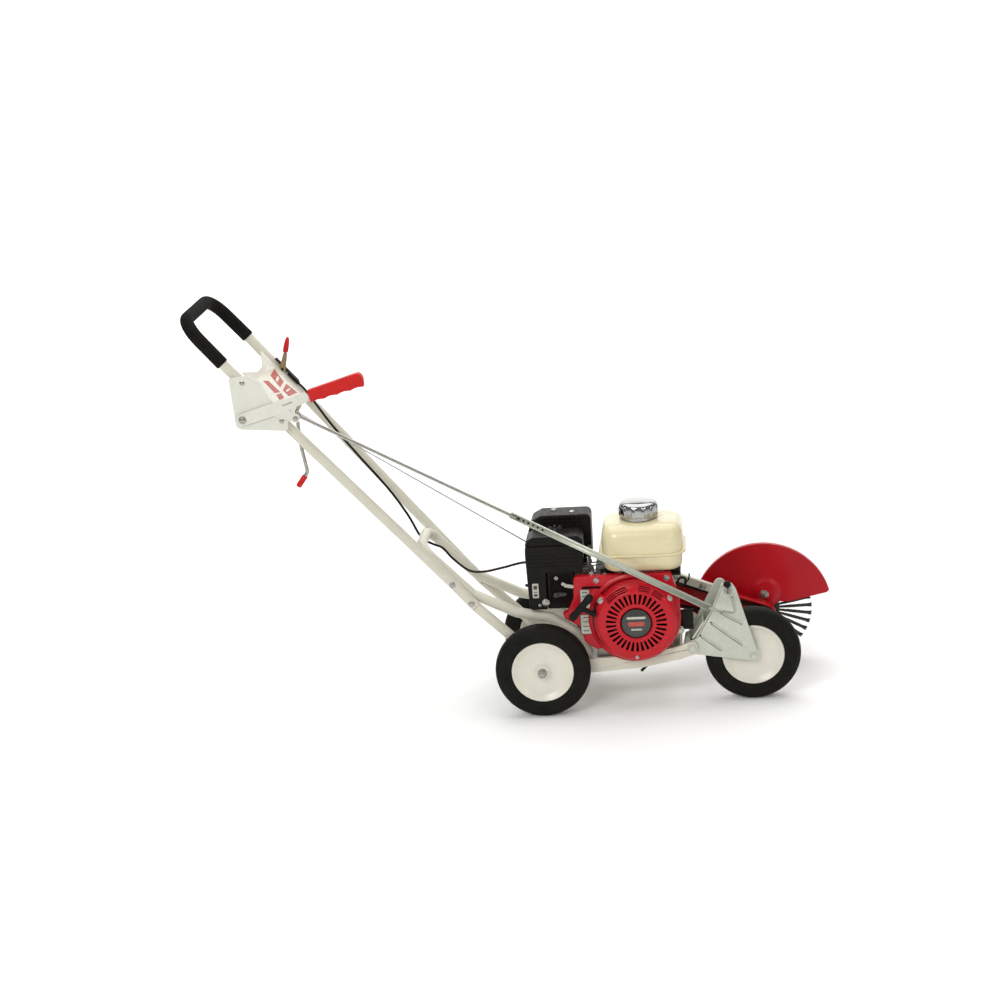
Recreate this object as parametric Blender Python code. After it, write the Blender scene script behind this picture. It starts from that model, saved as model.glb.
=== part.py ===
"""Walk-behind lawn edger: a U-handled tube frame on three wheels, with a small engine that turns a
wire brush in front through a belt. X points forward, Y to the machine's left, Z up, and Z = 0 is the
ground below the rear axle. Sizes are in millimetres here and become metres when a mesh is made."""
import math

import bmesh
import bpy
from mathutils import Vector

MM = 0.001
GAP = 0.3

# Wheels: three alike, 8 x 1.75 inch
WHEEL_RADIUS, WHEEL_WIDTH = 101.6, 44.5
RIM_RADIUS, HUB_RADIUS, AXLE_RADIUS = 66.0, 15.0, 6.3
REAR_NEAR_Y, REAR_FAR_Y = -115.0, 129.0
FRONT_X, FRONT_Y = 446.0, -52.0

# Frame
MID_Y = 7.0
TUBE_RADIUS = 11.1  # 7/8 inch tube
HANDLE_FOOT, HANDLE_GRIP = (-184.0, 292.0), (-615.0, 798.0)
HANDLE_FOOT_HALF, HANDLE_GRIP_HALF = 87.0, 135.0
HANDLE_END, GRIP_START, GRIP_TOP = -72.0, 668.0, 785.0
GRIP_RADIUS, HANDLE_BEND = 14.0, 52.0
FRAME_HALF = HANDLE_FOOT_HALF - 2 * TUBE_RADIUS - 0.6
PLATE_TOP = 106.0
PIVOT_X, PIVOT_Z = 318.0, 127.0

# Engine
CRANK_X, CRANK_Z = 203.0, 201.0
CRANK_RADIUS = 9.5
BELT_Y, BELT_WIDTH, BELT_DEPTH = 138.0, 10.0, 8.0
DRIVE_RADIUS, DRIVEN_RADIUS, IDLER_RADIUS = 30.0, 22.0, 20.0

# Brush head
BRUSH_X, BRUSH_Z = 474.0, 112.5
BRUSH_RADIUS, BRUSH_Y = 111.5, 196.0
GUARD_RADIUS, GUARD_Y, GUARD_CENTRE = 154.0, 180.0, (475.5, 114.0)
GUARD_POST, GUARD_BOLT = (405.0, 141.0), (480.0, 148.0)
SHAFT_RADIUS, KNOTS, FIRST_KNOT = 9.5, 36, 1.8
KNOT_ROOT, KNOT_RADIUS = 49.0, 3.6

# Controls
LEVER_X, LEVER_Z, LEVER_Y = -584.0, 685.0, -147.0
ROD_TOP = (-473.0, -120.0, 683.0)
ROD_JOIN = (-47.0, -116.9, 448.2)
ROD_FOOT = (358.0, -114.0, 225.0)
FORK_PIN_X, FORK_PIN_Z = 397.0, 250.0
THROTTLE_Y = 120.0
THROTTLE_X, THROTTLE_Z = -544.0, 730.0
CABLE_RADIUS = 2.6
CLUTCH_X, CLUTCH_Y, CLUTCH_Z = -470.0, -60.0, 705.0
CLUTCH_ROD_TOP, CLUTCH_ROD_FOOT = (-486.0, -54.0, 674.0), (150.0, 118.0, 190.0)
IDLER_ARM_X, IDLER_ARM_Z = 130.0, 128.0
IDLER_X, IDLER_Z = 262.6, 108.5

FINISHES = {
    "cream_paint": ((0.72, 0.70, 0.60, 1), 0.35, 0.0),
    "pale_zinc": ((0.66, 0.69, 0.62, 1), 0.38, 0.6),
    "bright_steel": ((0.62, 0.62, 0.60, 1), 0.28, 1.0),
    "red_paint": ((0.50, 0.02, 0.03, 1), 0.3, 0.0),
    "engine_red": ((0.60, 0.04, 0.03, 1), 0.3, 0.0),
    "tank_cream": ((0.74, 0.68, 0.45, 1), 0.35, 0.0),
    "black_plastic": ((0.02, 0.02, 0.02, 1), 0.5, 0.0),
    "black_rubber": ((0.025, 0.025, 0.02, 1), 0.75, 0.0),
    "foam": ((0.015, 0.015, 0.012, 1), 0.9, 0.0),
    "white_rim": ((0.82, 0.80, 0.72, 1), 0.35, 0.0),
    "cast_aluminium": ((0.55, 0.55, 0.53, 1), 0.45, 0.9),
    "red_vinyl": ((0.62, 0.03, 0.03, 1), 0.4, 0.0),
    "dark_steel": ((0.12, 0.12, 0.12, 1), 0.4, 0.8),
    "brass_zinc": ((0.5, 0.4, 0.24, 1), 0.4, 0.8),
}


def clear_scene():
    for obj in list(bpy.data.objects):
        bpy.data.objects.remove(obj, do_unlink=True)


def material(name, finish):
    colour, roughness, metallic = FINISHES[finish]
    mat = bpy.data.materials.new(name + "_" + finish)
    mat.use_nodes = True
    shader = mat.node_tree.nodes["Principled BSDF"]
    shader.inputs["Base Color"].default_value = colour
    shader.inputs["Roughness"].default_value = roughness
    shader.inputs["Metallic"].default_value = metallic
    return mat


def add_node(name, bm, finish, pivot=(0, 0, 0)):
    """Makes a named object from a bmesh in millimetres, with its origin at the pivot."""
    bmesh.ops.translate(bm, verts=bm.verts, vec=-Vector(pivot))
    bmesh.ops.scale(bm, verts=bm.verts, vec=(MM, MM, MM))
    bmesh.ops.recalc_face_normals(bm, faces=bm.faces)
    if bm.calc_volume(signed=True) < 0:
        bmesh.ops.reverse_faces(bm, faces=bm.faces)
    mesh = bpy.data.meshes.new(name)
    bm.to_mesh(mesh)
    bm.free()
    mesh.shade_smooth()
    mesh.set_sharp_from_angle(angle=math.radians(35))
    mesh.materials.append(material(name, finish))
    obj = bpy.data.objects.new(name, mesh)
    obj.location = Vector(pivot) * MM
    bpy.context.collection.objects.link(obj)
    return obj


def boolean(body, tool, operation):
    """Joins or cuts two closed bmeshes with an exact boolean, and returns one bmesh."""
    objects = []
    for shape in (body, tool):
        bmesh.ops.recalc_face_normals(shape, faces=shape.faces)
        mesh = bpy.data.meshes.new("shape")
        shape.to_mesh(mesh)
        shape.free()
        obj = bpy.data.objects.new("shape", mesh)
        bpy.context.collection.objects.link(obj)
        objects.append(obj)
    modifier = objects[0].modifiers.new("boolean", "BOOLEAN")
    modifier.operation = operation
    modifier.solver = "EXACT"
    modifier.object = objects[1]
    bpy.context.view_layer.update()
    evaluated = objects[0].evaluated_get(bpy.context.evaluated_depsgraph_get())
    result = bmesh.new()
    result.from_mesh(evaluated.to_mesh())
    evaluated.to_mesh_clear()
    for obj in objects:
        bpy.data.objects.remove(obj, do_unlink=True)
    bmesh.ops.remove_doubles(result, verts=result.verts, dist=0.001)
    return result


def union(*shapes):
    body = shapes[0]
    for shape in shapes[1:]:
        body = boolean(body, shape, "UNION")
    return body


def cut(body, *tools):
    for tool in tools:
        body = boolean(body, tool, "DIFFERENCE")
    return body


def circle(x, z, radius, count=24):
    steps = [2 * math.pi * i / count for i in range(count)]
    return [(x + radius * math.cos(a), z + radius * math.sin(a)) for a in steps]


def hull(circles, count=32):
    """The outline of a band stretched round circles given as (x, z, radius)."""
    points = sorted({p for x, z, r in circles for p in circle(x, z, r, count)})
    outline = []
    for ordered in (points, points[::-1]):
        chain = []
        for p in ordered:
            while len(chain) > 1 and turn(chain[-2], chain[-1], p) <= 1e-6:
                chain.pop()
            chain.append(p)
        outline += chain[:-1]
    return outline


def turn(a, b, c):
    return (b[0] - a[0]) * (c[1] - a[1]) - (b[1] - a[1]) * (c[0] - a[0])


def rounded(corners, steps=4):
    """An outline whose corners, given as (x, z, radius), are rounded."""
    outline = []
    for i, (x, z, radius) in enumerate(corners):
        here = Vector((x, z))
        before = (Vector(corners[i - 1][:2]) - here).normalized()
        after = (Vector(corners[(i + 1) % len(corners)][:2]) - here).normalized()
        if radius == 0:
            outline.append((x, z))
            continue
        half = before.angle(after) / 2
        centre = here + (before + after).normalized() * radius / math.sin(half)
        start = here + before * radius / math.tan(half) - centre
        finish = here + after * radius / math.tan(half) - centre
        for k in range(steps + 1):
            spoke = start.lerp(finish, k / steps).normalized() * radius
            outline.append(tuple(centre + spoke))
    return outline


def prism(outline, y0, y1, holes=(), bevel=0.0, segments=1):
    """A plate cut to an outline in XZ, from y0 to y1, with round holes given as (x, z, radius)."""
    bm = bmesh.new()
    edges = []
    for loop in [outline] + [circle(x, z, r, 16) for x, z, r in holes]:
        verts = [bm.verts.new((x, y0, z)) for x, z in loop]
        edges += [bm.edges.new((v, verts[i - 1])) for i, v in enumerate(verts)]
    if holes:
        bmesh.ops.triangle_fill(bm, use_beauty=True, use_dissolve=False, edges=edges)
    else:
        bm.faces.new(bm.verts[:])
    sides = bmesh.ops.extrude_face_region(bm, geom=bm.faces[:])
    moved = [e for e in sides["geom"] if isinstance(e, bmesh.types.BMVert)]
    bmesh.ops.translate(bm, verts=moved, vec=(0, y1 - y0, 0))
    bmesh.ops.recalc_face_normals(bm, faces=bm.faces)
    if bevel:
        rims = [e for e in bm.edges if len(e.link_faces) == 2 and e.calc_face_angle() > 1.2]
        rims = [e for e in rims if abs(e.verts[0].co.y - e.verts[1].co.y) < 0.01]
        bmesh.ops.bevel(bm, geom=rims, offset=bevel, segments=segments, affect="EDGES", profile=0.5)
    return bm


def box(x, y, z, bevel=0.0, segments=2):
    """A box from ranges in X, Y and Z, with its edges rounded."""
    bm = bmesh.new()
    bmesh.ops.create_cube(bm, size=1)
    size = Vector((x[1] - x[0], y[1] - y[0], z[1] - z[0]))
    centre = Vector((x[1] + x[0], y[1] + y[0], z[1] + z[0])) / 2
    bmesh.ops.scale(bm, verts=bm.verts, vec=size)
    bmesh.ops.translate(bm, verts=bm.verts, vec=centre)
    if bevel:
        bmesh.ops.bevel(bm, geom=bm.edges[:], offset=bevel, segments=segments, affect="EDGES", profile=0.5)
    return bm


def lathe(profile, centre, axis=(0, 1, 0), count=32):
    """Turns a profile of (radius, height) about an axis through centre. A profile that neither
    starts nor ends on the axis is a ring."""
    bm = bmesh.new()
    frame = Vector(axis).to_track_quat("Z", "Y").to_matrix().to_4x4()
    frame.translation = Vector(centre)
    rings = []
    for radius, height in profile:
        if radius == 0:
            rings.append([bm.verts.new(frame @ Vector((0, 0, height)))] * count)
            continue
        rings.append([bm.verts.new(frame @ Vector((x, y, height))) for x, y in circle(0, 0, radius, count)])
    pairs = list(zip(rings, rings[1:]))
    if profile[0][0] and profile[-1][0]:
        pairs.append((rings[-1], rings[0]))
    for lower, upper in pairs:
        for i in range(count):
            corners = [lower[i - 1], lower[i], upper[i], upper[i - 1]]
            unique = [v for k, v in enumerate(corners) if v is not corners[k - 1]]
            bm.faces.new(unique)
    bmesh.ops.recalc_face_normals(bm, faces=bm.faces)
    return bm


def rod(start, end, radius, count=12, bore=0.0):
    """A straight round bar or pipe between two points."""
    start, end = Vector(start), Vector(end)
    length = (end - start).length
    if bore:
        profile = [(bore, 0), (radius, 0), (radius, length), (bore, length)]
    else:
        profile = [(0, 0), (radius, 0), (radius, length), (0, length)]
    return lathe(profile, start, end - start, count)


def bent(points, radius, steps=5):
    """A route through points whose corners are rounded to a bend radius."""
    points = [Vector(p) for p in points]
    route = [points[0]]
    for before, here, after in zip(points, points[1:], points[2:]):
        inward, outward = (before - here).normalized(), (after - here).normalized()
        half = inward.angle(outward) / 2
        if half > math.radians(88):
            route.append(here)
            continue
        reach = min(radius / math.tan(half), (before - here).length * 0.49, (after - here).length * 0.49)
        bend = reach * math.tan(half)
        centre = here + (inward + outward).normalized() * bend / math.sin(half)
        start, finish = here + inward * reach - centre, here + outward * reach - centre
        for k in range(steps + 1):
            route.append(centre + start.lerp(finish, k / steps).normalized() * bend)
    return route + [points[-1]]


def tube(route, radius, count=12, bore=0.0):
    """A round bar or sleeve along a route."""
    bm = bmesh.new()
    route = [Vector(p) for p in route]
    aims = [(b - a).normalized() for a, b in zip(route, route[1:])]
    aims = [aims[0]] + [(a + b).normalized() for a, b in zip(aims, aims[1:])] + [aims[-1]]
    side = aims[0].orthogonal().normalized()
    layers = []
    for point, aim in zip(route, aims):
        side = (side - aim * side.dot(aim)).normalized()
        up = aim.cross(side)
        rings = []
        for r in ([radius, bore] if bore else [radius]):
            rings.append([bm.verts.new(point + side * x + up * y) for x, y in circle(0, 0, r, count)])
        layers.append(rings)
    for lower, upper in zip(layers, layers[1:]):
        for low, high in zip(lower, upper):
            for i in range(count):
                bm.faces.new((low[i - 1], low[i], high[i], high[i - 1]))
    for layer in (layers[0], layers[-1]):
        if not bore:
            bm.faces.new(layer[0])
            continue
        outer, inner = layer
        for i in range(count):
            bm.faces.new((outer[i - 1], outer[i], inner[i], inner[i - 1]))
    bmesh.ops.recalc_face_normals(bm, faces=bm.faces)
    return bm


def hexagon(x, z, radius, y0, y1, hole=0.0):
    return prism(circle(x, z, radius, 6), y0, y1, [(x, z, hole)] if hole else ())


# ---- Frame -------------------------------------------------------------------------------------

HANDLE_RUN = Vector((HANDLE_GRIP[0] - HANDLE_FOOT[0], 0, HANDLE_GRIP[1] - HANDLE_FOOT[1]))
HANDLE_AIM = HANDLE_RUN.normalized()
HANDLE_UP = Vector((HANDLE_AIM.z, 0, -HANDLE_AIM.x))
HANDLE_LENGTH = HANDLE_RUN.length


def handle_half(s):
    """Half the distance between the handle's legs, s along the handle from its lower bolts."""
    share = min(max(s, 0), GRIP_START) / HANDLE_LENGTH
    return HANDLE_FOOT_HALF + (HANDLE_GRIP_HALF - HANDLE_FOOT_HALF) * share


def on_handle(s, y, up=0.0):
    """A point in the handle's plane, s along it, up above it."""
    return Vector((HANDLE_FOOT[0], y, HANDLE_FOOT[1])) + HANDLE_AIM * s + HANDLE_UP * up


def handle_route(stations):
    """The U of the handle through the given stations, lowest first, on both legs."""
    legs = [[on_handle(s, MID_Y + side * handle_half(s)) for s in stations] for side in (-1, 1)]
    corners = [on_handle(GRIP_TOP, MID_Y + side * (handle_half(GRIP_TOP) - 4)) for side in (-1, 1)]
    return bent(legs[0] + corners + legs[1][::-1], HANDLE_BEND, 5)


def build_frame():
    add_node("handle_tube", tube(handle_route((HANDLE_END, 0, GRIP_START)), TUBE_RADIUS, 12), "cream_paint")
    add_node("hand_grip", tube(handle_route((GRIP_START,)), GRIP_RADIUS, 12, TUBE_RADIUS + 2 * GAP), "foam")

    near, far = MID_Y - FRAME_HALF, MID_Y + FRAME_HALF
    branch = [(-249, 367), (-146, 258), (-52, 212), (20, 198), (72, 164), (97, 112)]
    route = [(x, near, z) for x, z in branch[::-1]] + [(x, far, z) for x, z in branch]
    add_node("frame_tube", tube(bent(route, 34, 3), TUBE_RADIUS, 10), "cream_paint")

    for name, side in (("axle_leg_near", -1), ("axle_leg_far", 1)):
        y = MID_Y + side * HANDLE_FOOT_HALF
        top = on_handle(HANDLE_END - 1, y)
        leg = tube([top, (0, y, WHEEL_RADIUS)], TUBE_RADIUS, 12)
        boss = rod((0, y - 12, WHEEL_RADIUS), (0, y + 10, WHEEL_RADIUS), 14, 20)
        bore = rod((0, y - 30, WHEEL_RADIUS), (0, y + 30, WHEEL_RADIUS), AXLE_RADIUS + GAP, 16)
        add_node(name, cut(union(boss, leg), bore), "cream_paint")

    plate = prism([(84, 100), (296, 100), (296, PLATE_TOP), (84, PLATE_TOP)], -78.5, 99.5)
    rail = rounded([(86, 79, 4), (212, 88, 60), (290, 103, 60), (333, 116, 15), (328, 146, 15),
                    (285, 131, 60), (212, 117, 60), (86, 110, 4)])
    pivot_hole = [(PIVOT_X, PIVOT_Z, 5 + GAP)]
    add_node("rail_near", prism(rail, -87, -79, pivot_hole), "cream_paint")
    post = prism([(270, 124), (286, 124), (286, 216), (270, 222)], 101, 107.5)
    add_node("rail_far", union(prism(rail, 100, 108, pivot_hole), post), "cream_paint")
    bracket = rounded([(288, 100.5, 0), (316, 100.5, 8), (334, 116, 12), (330, 144, 12), (304, 138, 6),
                       (297, 105.5, 0), (288, 105.5, 0)])
    bracket = prism(bracket, -16, -10, pivot_hole)
    add_node("engine_plate", union(plate, bracket), "cream_paint")

    near_end, far_end = REAR_NEAR_Y - WHEEL_WIDTH / 2 - 1, REAR_FAR_Y + WHEEL_WIDTH / 2 + 1
    axle = [rod((0, near_end - 2, WHEEL_RADIUS), (0, far_end + 2, WHEEL_RADIUS), AXLE_RADIUS, 16)]
    for y, side in ((near_end, -1), (far_end, 1)):
        nut = [(0, 0), (10.5, 0), (10.5, 3), (8, 8), (4, 9.6), (0, 10)]
        axle.append(lathe(nut, (0, y, WHEEL_RADIUS), (0, side, 0), 16))
    add_node("rear_axle", union(*axle), "bright_steel")


# ---- Wheels ------------------------------------------------------------------------------------

def build_wheel(label, x, y):
    centre = (x, y, WHEEL_RADIUS)
    half = WHEEL_WIDTH / 2
    bore = AXLE_RADIUS + GAP + 0.1
    inside = RIM_RADIUS + GAP
    edge = [(inside, -17), (inside + 5, -half), (92, -20), (99, -15.5), (WHEEL_RADIUS, -11)]
    tyre = edge + [(r, -h) for r, h in edge[::-1]]
    add_node("tyre_" + label, lathe(tyre, centre, count=36), "black_rubber", centre)
    dish = [(bore, -half), (HUB_RADIUS, -half), (HUB_RADIUS, -6), (52, -6), (60, -17), (RIM_RADIUS, -17)]
    rim = dish + [(r, -h) for r, h in dish[::-1]]
    add_node("rim_" + label, lathe(rim, centre, count=28), "white_rim", centre)


def build_fork():
    pivot, axle = (PIVOT_X, PIVOT_Z, 14), (FRONT_X, WHEEL_RADIUS, 15)
    holes = [(PIVOT_X, PIVOT_Z, 5 + GAP), (FRONT_X, WHEEL_RADIUS, AXLE_RADIUS + GAP)]
    near = prism(hull([pivot, axle, (FORK_PIN_X, FORK_PIN_Z + 6, 16)], 20), -78.6, -75.4, holes)
    far = prism(hull([pivot, axle, (352, 186, 12)], 20), -24, -20, holes)
    web = prism([(317, 146), (320.5, 143.5), (360, 196), (356.5, 199)], -77, -22)
    pin = rod((FORK_PIN_X, -109, FORK_PIN_Z), (FORK_PIN_X, -77, FORK_PIN_Z), 4, 12)
    add_node("front_fork", union(near, far, web, pin), "pale_zinc", (PIVOT_X, 0, PIVOT_Z))
    shaft = rod((FRONT_X, -84, WHEEL_RADIUS), (FRONT_X, -14, WHEEL_RADIUS), AXLE_RADIUS, 16)
    head = hexagon(FRONT_X, WHEEL_RADIUS, 9.5, -85, -79)
    add_node("front_axle", union(shaft, head), "bright_steel", (PIVOT_X, 0, PIVOT_Z))
    bolt = rod((PIVOT_X, -90, PIVOT_Z), (PIVOT_X, 111, PIVOT_Z), 5, 12)
    heads = [hexagon(PIVOT_X, PIVOT_Z, 9, -93, -87.4), hexagon(PIVOT_X, PIVOT_Z, 9, 108.4, 114)]
    add_node("fork_pivot_bolt", union(bolt, *heads), "bright_steel")


# ---- Engine ------------------------------------------------------------------------------------

def build_engine():
    case = [(114, PLATE_TOP + 0.5, 2), (290, PLATE_TOP + 0.5, 2), (290, 118, 3), (278, 128, 8), (286, 200, 40),
            (262, 270, 20), (232, 284, 12), (140, 284, 10), (118, 262, 8), (118, 130, 6), (114, 118, 3)]
    add_node("crankcase", prism(rounded(case, 2), -70.4, 98), "cast_aluminium")

    fins = [(117.5, 205)]
    for k in range(9):
        x = 108 - 11 * k
        fins += [(x, 205), (x, 216), (x - 5, 216), (x - 5, 205)]
    fins += [(10, 205), (10, 262), (117.5, 262)]
    add_node("cylinder_head", prism(fins, -7.5, 59.5), "cast_aluminium")
    plug = [(0, 0), (8, 0), (8, 14), (11, 16), (11, 34), (7, 38), (0, 38)]
    add_node("spark_plug_cap", lathe(plug, (9.5, 28, 240), (-1, 0, 0), 14), "black_rubber")

    housing = [(74, 297, 8), (72, 250, 6), (59, 222, 6), (47, 215, 3), (52, 204, 4), (82, 186, 10),
               (92, 150, 14), (114, 134, 10), (272, 136, 24), (292, 170, 20), (296, 232, 20), (288, 266, 12),
               (280, 298, 6)]
    add_node("blower_housing", prism(rounded(housing, 2), -90, -71, bevel=4), "engine_red")
    cover = [(0, 0), (90, 0), (90, 12), (85, 24), (76, 33), (36, 34), (33, 32.5), (0, 32.5)]
    add_node("recoil_cover", lathe(cover, (CRANK_X, -90.4, CRANK_Z), (0, -1, 0), 32), "engine_red")

    bar = lathe([(0, 0), (7, 1), (8.5, 5), (8.5, 65), (7, 69), (0, 70)], (66, -126, 215), (46, 0, 52), 14)
    stem = rod((89, -126, 241), (119, -118, 221), 5, 12)
    add_node("starter_grip", union(bar, stem), "black_rubber", (119, -118, 221))

    tank = [(139, 301, 10), (303, 301, 10), (314, 340, 10), (310, 382, 16), (298, 402, 14), (152, 402, 14),
            (136, 382, 16), (130, 340, 10)]
    add_node("fuel_tank", prism(rounded(tank, 2), -93, 57, bevel=12, segments=2), "tank_cream")
    cap = [(0, 0), (40, 0), (41, 2), (41, 28), (37, 32), (14, 38), (0, 40)]
    add_node("fuel_cap", lathe(cap, (216, -18, 402.5), (0, 0, 1), 32), "bright_steel", (216, -18, 402.5))

    cleaner = [(-24, 222, 6), (15, 222, 2), (15, 303, 2), (92, 303, 6), (98, 330, 10), (97, 383, 8),
               (-17, 383, 10), (-27, 345, 10)]
    add_node("air_cleaner", prism(rounded(cleaner, 2), -75, -8.5, bevel=4), "black_plastic")
    add_node("control_box", box((15.5, 74), (-66, -40.5), (220, 302.5), 3, 1), "black_plastic")
    wing = union(rod((38, -42, 383.5), (38, -42, 397), 3, 12), box((22, 54), (-44, -40), (388, 396), 1.5, 1))
    add_node("wing_nut", wing, "bright_steel", (38, -42, 383.5))
    add_node("carburettor", box((62, 104), (-38, -12), (264, 298), 3, 1), "cast_aluminium")

    add_node("muffler", box((-4, 100), (8, 58), (262.5, 311.5), 8), "dark_steel")
    guard = [(-22, 312, 3), (112, 312, 3), (113, 408, 10), (6, 408, 8), (-14, 397, 8), (-23, 372, 10)]
    add_node("muffler_guard", prism(rounded(guard, 2), 0, 62, bevel=4), "black_plastic")

    for name, x, z, tip_x, tip_z, finish in (("choke_lever", 50, 276, 70, 269, "bright_steel"),
                                             ("fuel_lever", 34, 252, 54, 253, "dark_steel")):
        arm = prism(hull([(x, z, 6), (tip_x, tip_z, 4)], 16), -71, -67)
        add_node(name, arm, finish, (x, -69, z))


# ---- Belt drive and brush ----------------------------------------------------------------------

def grooved(radius, bore):
    half = BELT_WIDTH / 2 + 5
    return [(bore, -half), (radius + 4, -half), (radius + 4, -half + 2), (radius - BELT_DEPTH, -3),
            (radius - BELT_DEPTH, 3), (radius + 4, half - 2), (radius + 4, half), (bore, half)]


def belt_band(offset):
    return hull([(CRANK_X, CRANK_Z, DRIVE_RADIUS + offset), (BRUSH_X, BRUSH_Z, DRIVEN_RADIUS + offset)], 28)


def build_drive():
    crank, brush = (CRANK_X, BELT_Y, CRANK_Z), (BRUSH_X, BELT_Y, BRUSH_Z)
    shaft = rod((CRANK_X, 98.6, CRANK_Z), (CRANK_X, 150, CRANK_Z), CRANK_RADIUS, 16)
    add_node("crankshaft", shaft, "bright_steel", crank)
    sheave = lathe(grooved(DRIVE_RADIUS, CRANK_RADIUS + GAP), crank, count=24)
    add_node("drive_pulley", sheave, "dark_steel", crank)
    band, inner = belt_band(0), belt_band(-BELT_DEPTH + 2)
    belt = cut(prism(band, BELT_Y - 2.6, BELT_Y + 2.6), prism(inner, BELT_Y - 9, BELT_Y + 9))
    add_node("drive_belt", belt, "black_rubber")

    arm = prism(hull([(IDLER_ARM_X, IDLER_ARM_Z, 11), (IDLER_X, IDLER_Z, 9)], 20), 120, 124,
                [(IDLER_ARM_X, IDLER_ARM_Z, 5 + GAP)])
    link = [(IDLER_ARM_X + 4, IDLER_ARM_Z + 14, 6), (CLUTCH_ROD_FOOT[0], CLUTCH_ROD_FOOT[2], 6)]
    upper = prism(hull(link, 16), 120.5, 123.5)
    axle = [rod((IDLER_X, 116, IDLER_Z), (IDLER_X, 146, IDLER_Z), 4, 12),
            rod((IDLER_X, 124, IDLER_Z), (IDLER_X, 130, IDLER_Z), 8, 12)]
    add_node("idler_arm", union(arm, upper, *axle), "dark_steel", (IDLER_ARM_X, 0, IDLER_ARM_Z))
    pin = union(rod((IDLER_ARM_X, 98.4, IDLER_ARM_Z), (IDLER_ARM_X, 128, IDLER_ARM_Z), 5, 12),
                rod((IDLER_ARM_X, 98.4, IDLER_ARM_Z), (IDLER_ARM_X, 119.6, IDLER_ARM_Z), 9, 12))
    add_node("idler_arm_pin", pin, "bright_steel")
    wheel = [(4 + GAP, -6), (IDLER_RADIUS, -6), (IDLER_RADIUS, 6), (4 + GAP, 6)]
    centre = (IDLER_X, BELT_Y, IDLER_Z)
    add_node("idler_pulley", lathe(wheel, centre, count=24), "bright_steel", centre)

    corners = [(252, 236), (384, 184), (418, 132), (456, 117)]
    arm = [prism(hull([a + (9,), b + (9,)], 16), 108.8, 122) for a, b in zip(corners, corners[1:])]
    post = rod((GUARD_POST[0], 115, GUARD_POST[1]), (GUARD_POST[0], GUARD_Y - 0.4, GUARD_POST[1]), 8, 12)
    housing = rod((BRUSH_X, 84, BRUSH_Z), (BRUSH_X, 124, BRUSH_Z), 24, 24)
    bore = rod((BRUSH_X, 60, BRUSH_Z), (BRUSH_X, 150, BRUSH_Z), SHAFT_RADIUS + GAP, 20)
    add_node("spindle_arm", cut(union(*arm, housing, post), bore), "cream_paint")

    shaft = union(rod((BRUSH_X, 78, BRUSH_Z), (BRUSH_X, 214, BRUSH_Z), SHAFT_RADIUS, 20),
                  rod((BRUSH_X, 77, BRUSH_Z), (BRUSH_X, 83.6, BRUSH_Z), 13, 20),
                  hexagon(BRUSH_X, BRUSH_Z, 17, BRUSH_Y + 8.4, BRUSH_Y + 16))
    add_node("spindle_shaft", shaft, "bright_steel", brush)
    sheave = lathe(grooved(DRIVEN_RADIUS, SHAFT_RADIUS + GAP), brush, count=24)
    add_node("driven_pulley", sheave, "dark_steel", brush)
    add_node("wire_brush", wire_brush(), "dark_steel", (BRUSH_X, BRUSH_Y, BRUSH_Z))


def wire_brush():
    """A hub disc with twisted wire knots round it."""
    hub = lathe([(SHAFT_RADIUS + GAP, -8), (48, -8), (52, -4), (52, 4), (48, 8), (SHAFT_RADIUS + GAP, 8)],
                (BRUSH_X, BRUSH_Y, BRUSH_Z), count=32)
    knots = []
    for k in range(KNOTS):
        angle = math.radians(FIRST_KNOT) + 2 * math.pi * k / KNOTS
        aim = Vector((math.cos(angle), 0, math.sin(angle)))
        root = Vector((BRUSH_X, BRUSH_Y, BRUSH_Z)) + aim * KNOT_ROOT
        knots.append(rod(root, root + aim * (BRUSH_RADIUS - KNOT_ROOT), KNOT_RADIUS, 6))
    return union(hub, *knots)


def build_guards():
    tips = [(337, 180), (371, 166), (390, 158), (394, 131), (416, 131), (424, 143), (452, 132), (536, 131),
            (619, 149)]
    centre = Vector(GUARD_CENTRE)
    start = math.atan2(tips[-1][1] - centre.y, tips[-1][0] - centre.x)
    sweep = math.atan2(tips[0][1] - centre.y, tips[0][0] - centre.x) - start
    angles = [start + sweep * k / 24 for k in range(1, 24)]
    outer = [tuple(centre + GUARD_RADIUS * Vector((math.cos(a), math.sin(a)))) for a in angles]
    shield = prism(tips + outer, GUARD_Y, GUARD_Y + 3, [GUARD_BOLT + (4.3,)])
    inner = [tuple(centre + (Vector(p) - centre) * (1 - 3 / GUARD_RADIUS)) for p in outer]
    rim = prism(outer + inner[::-1], GUARD_Y + 1, GUARD_Y + 13)
    add_node("brush_guard", union(shield, rim), "red_paint")
    x, z = GUARD_BOLT
    bolt = rod((x, GUARD_Y - 4, z), (x, GUARD_Y + 5, z), 4, 12)
    heads = [hexagon(*GUARD_BOLT, 10, GUARD_Y - 6, GUARD_Y - 0.4),
             hexagon(*GUARD_BOLT, 8, GUARD_Y + 3.4, GUARD_Y + 7)]
    add_node("guard_bolt", union(bolt, *heads), "bright_steel")

    outline = hull([(CRANK_X, CRANK_Z, 40), (BRUSH_X, BRUSH_Z, 31)], 36)
    skirt = hull([(CRANK_X, CRANK_Z, 37.6), (BRUSH_X, BRUSH_Z, 28.6)], 36)
    cover = cut(prism(outline, 130, 158), prism(skirt, 120, 155.5),
                rod((BRUSH_X, 150, BRUSH_Z), (BRUSH_X, 165, BRUSH_Z), SHAFT_RADIUS + 3, 20),
                rod((GUARD_POST[0], 150, GUARD_POST[1]), (GUARD_POST[0], 165, GUARD_POST[1]), 10, 16))
    window = prism([(222, 100), (306, 100), (306, 152), (222, 168)], 120, 155.5)
    add_node("belt_guard", cut(cover, window), "red_paint")


# ---- Controls ----------------------------------------------------------------------------------

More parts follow.
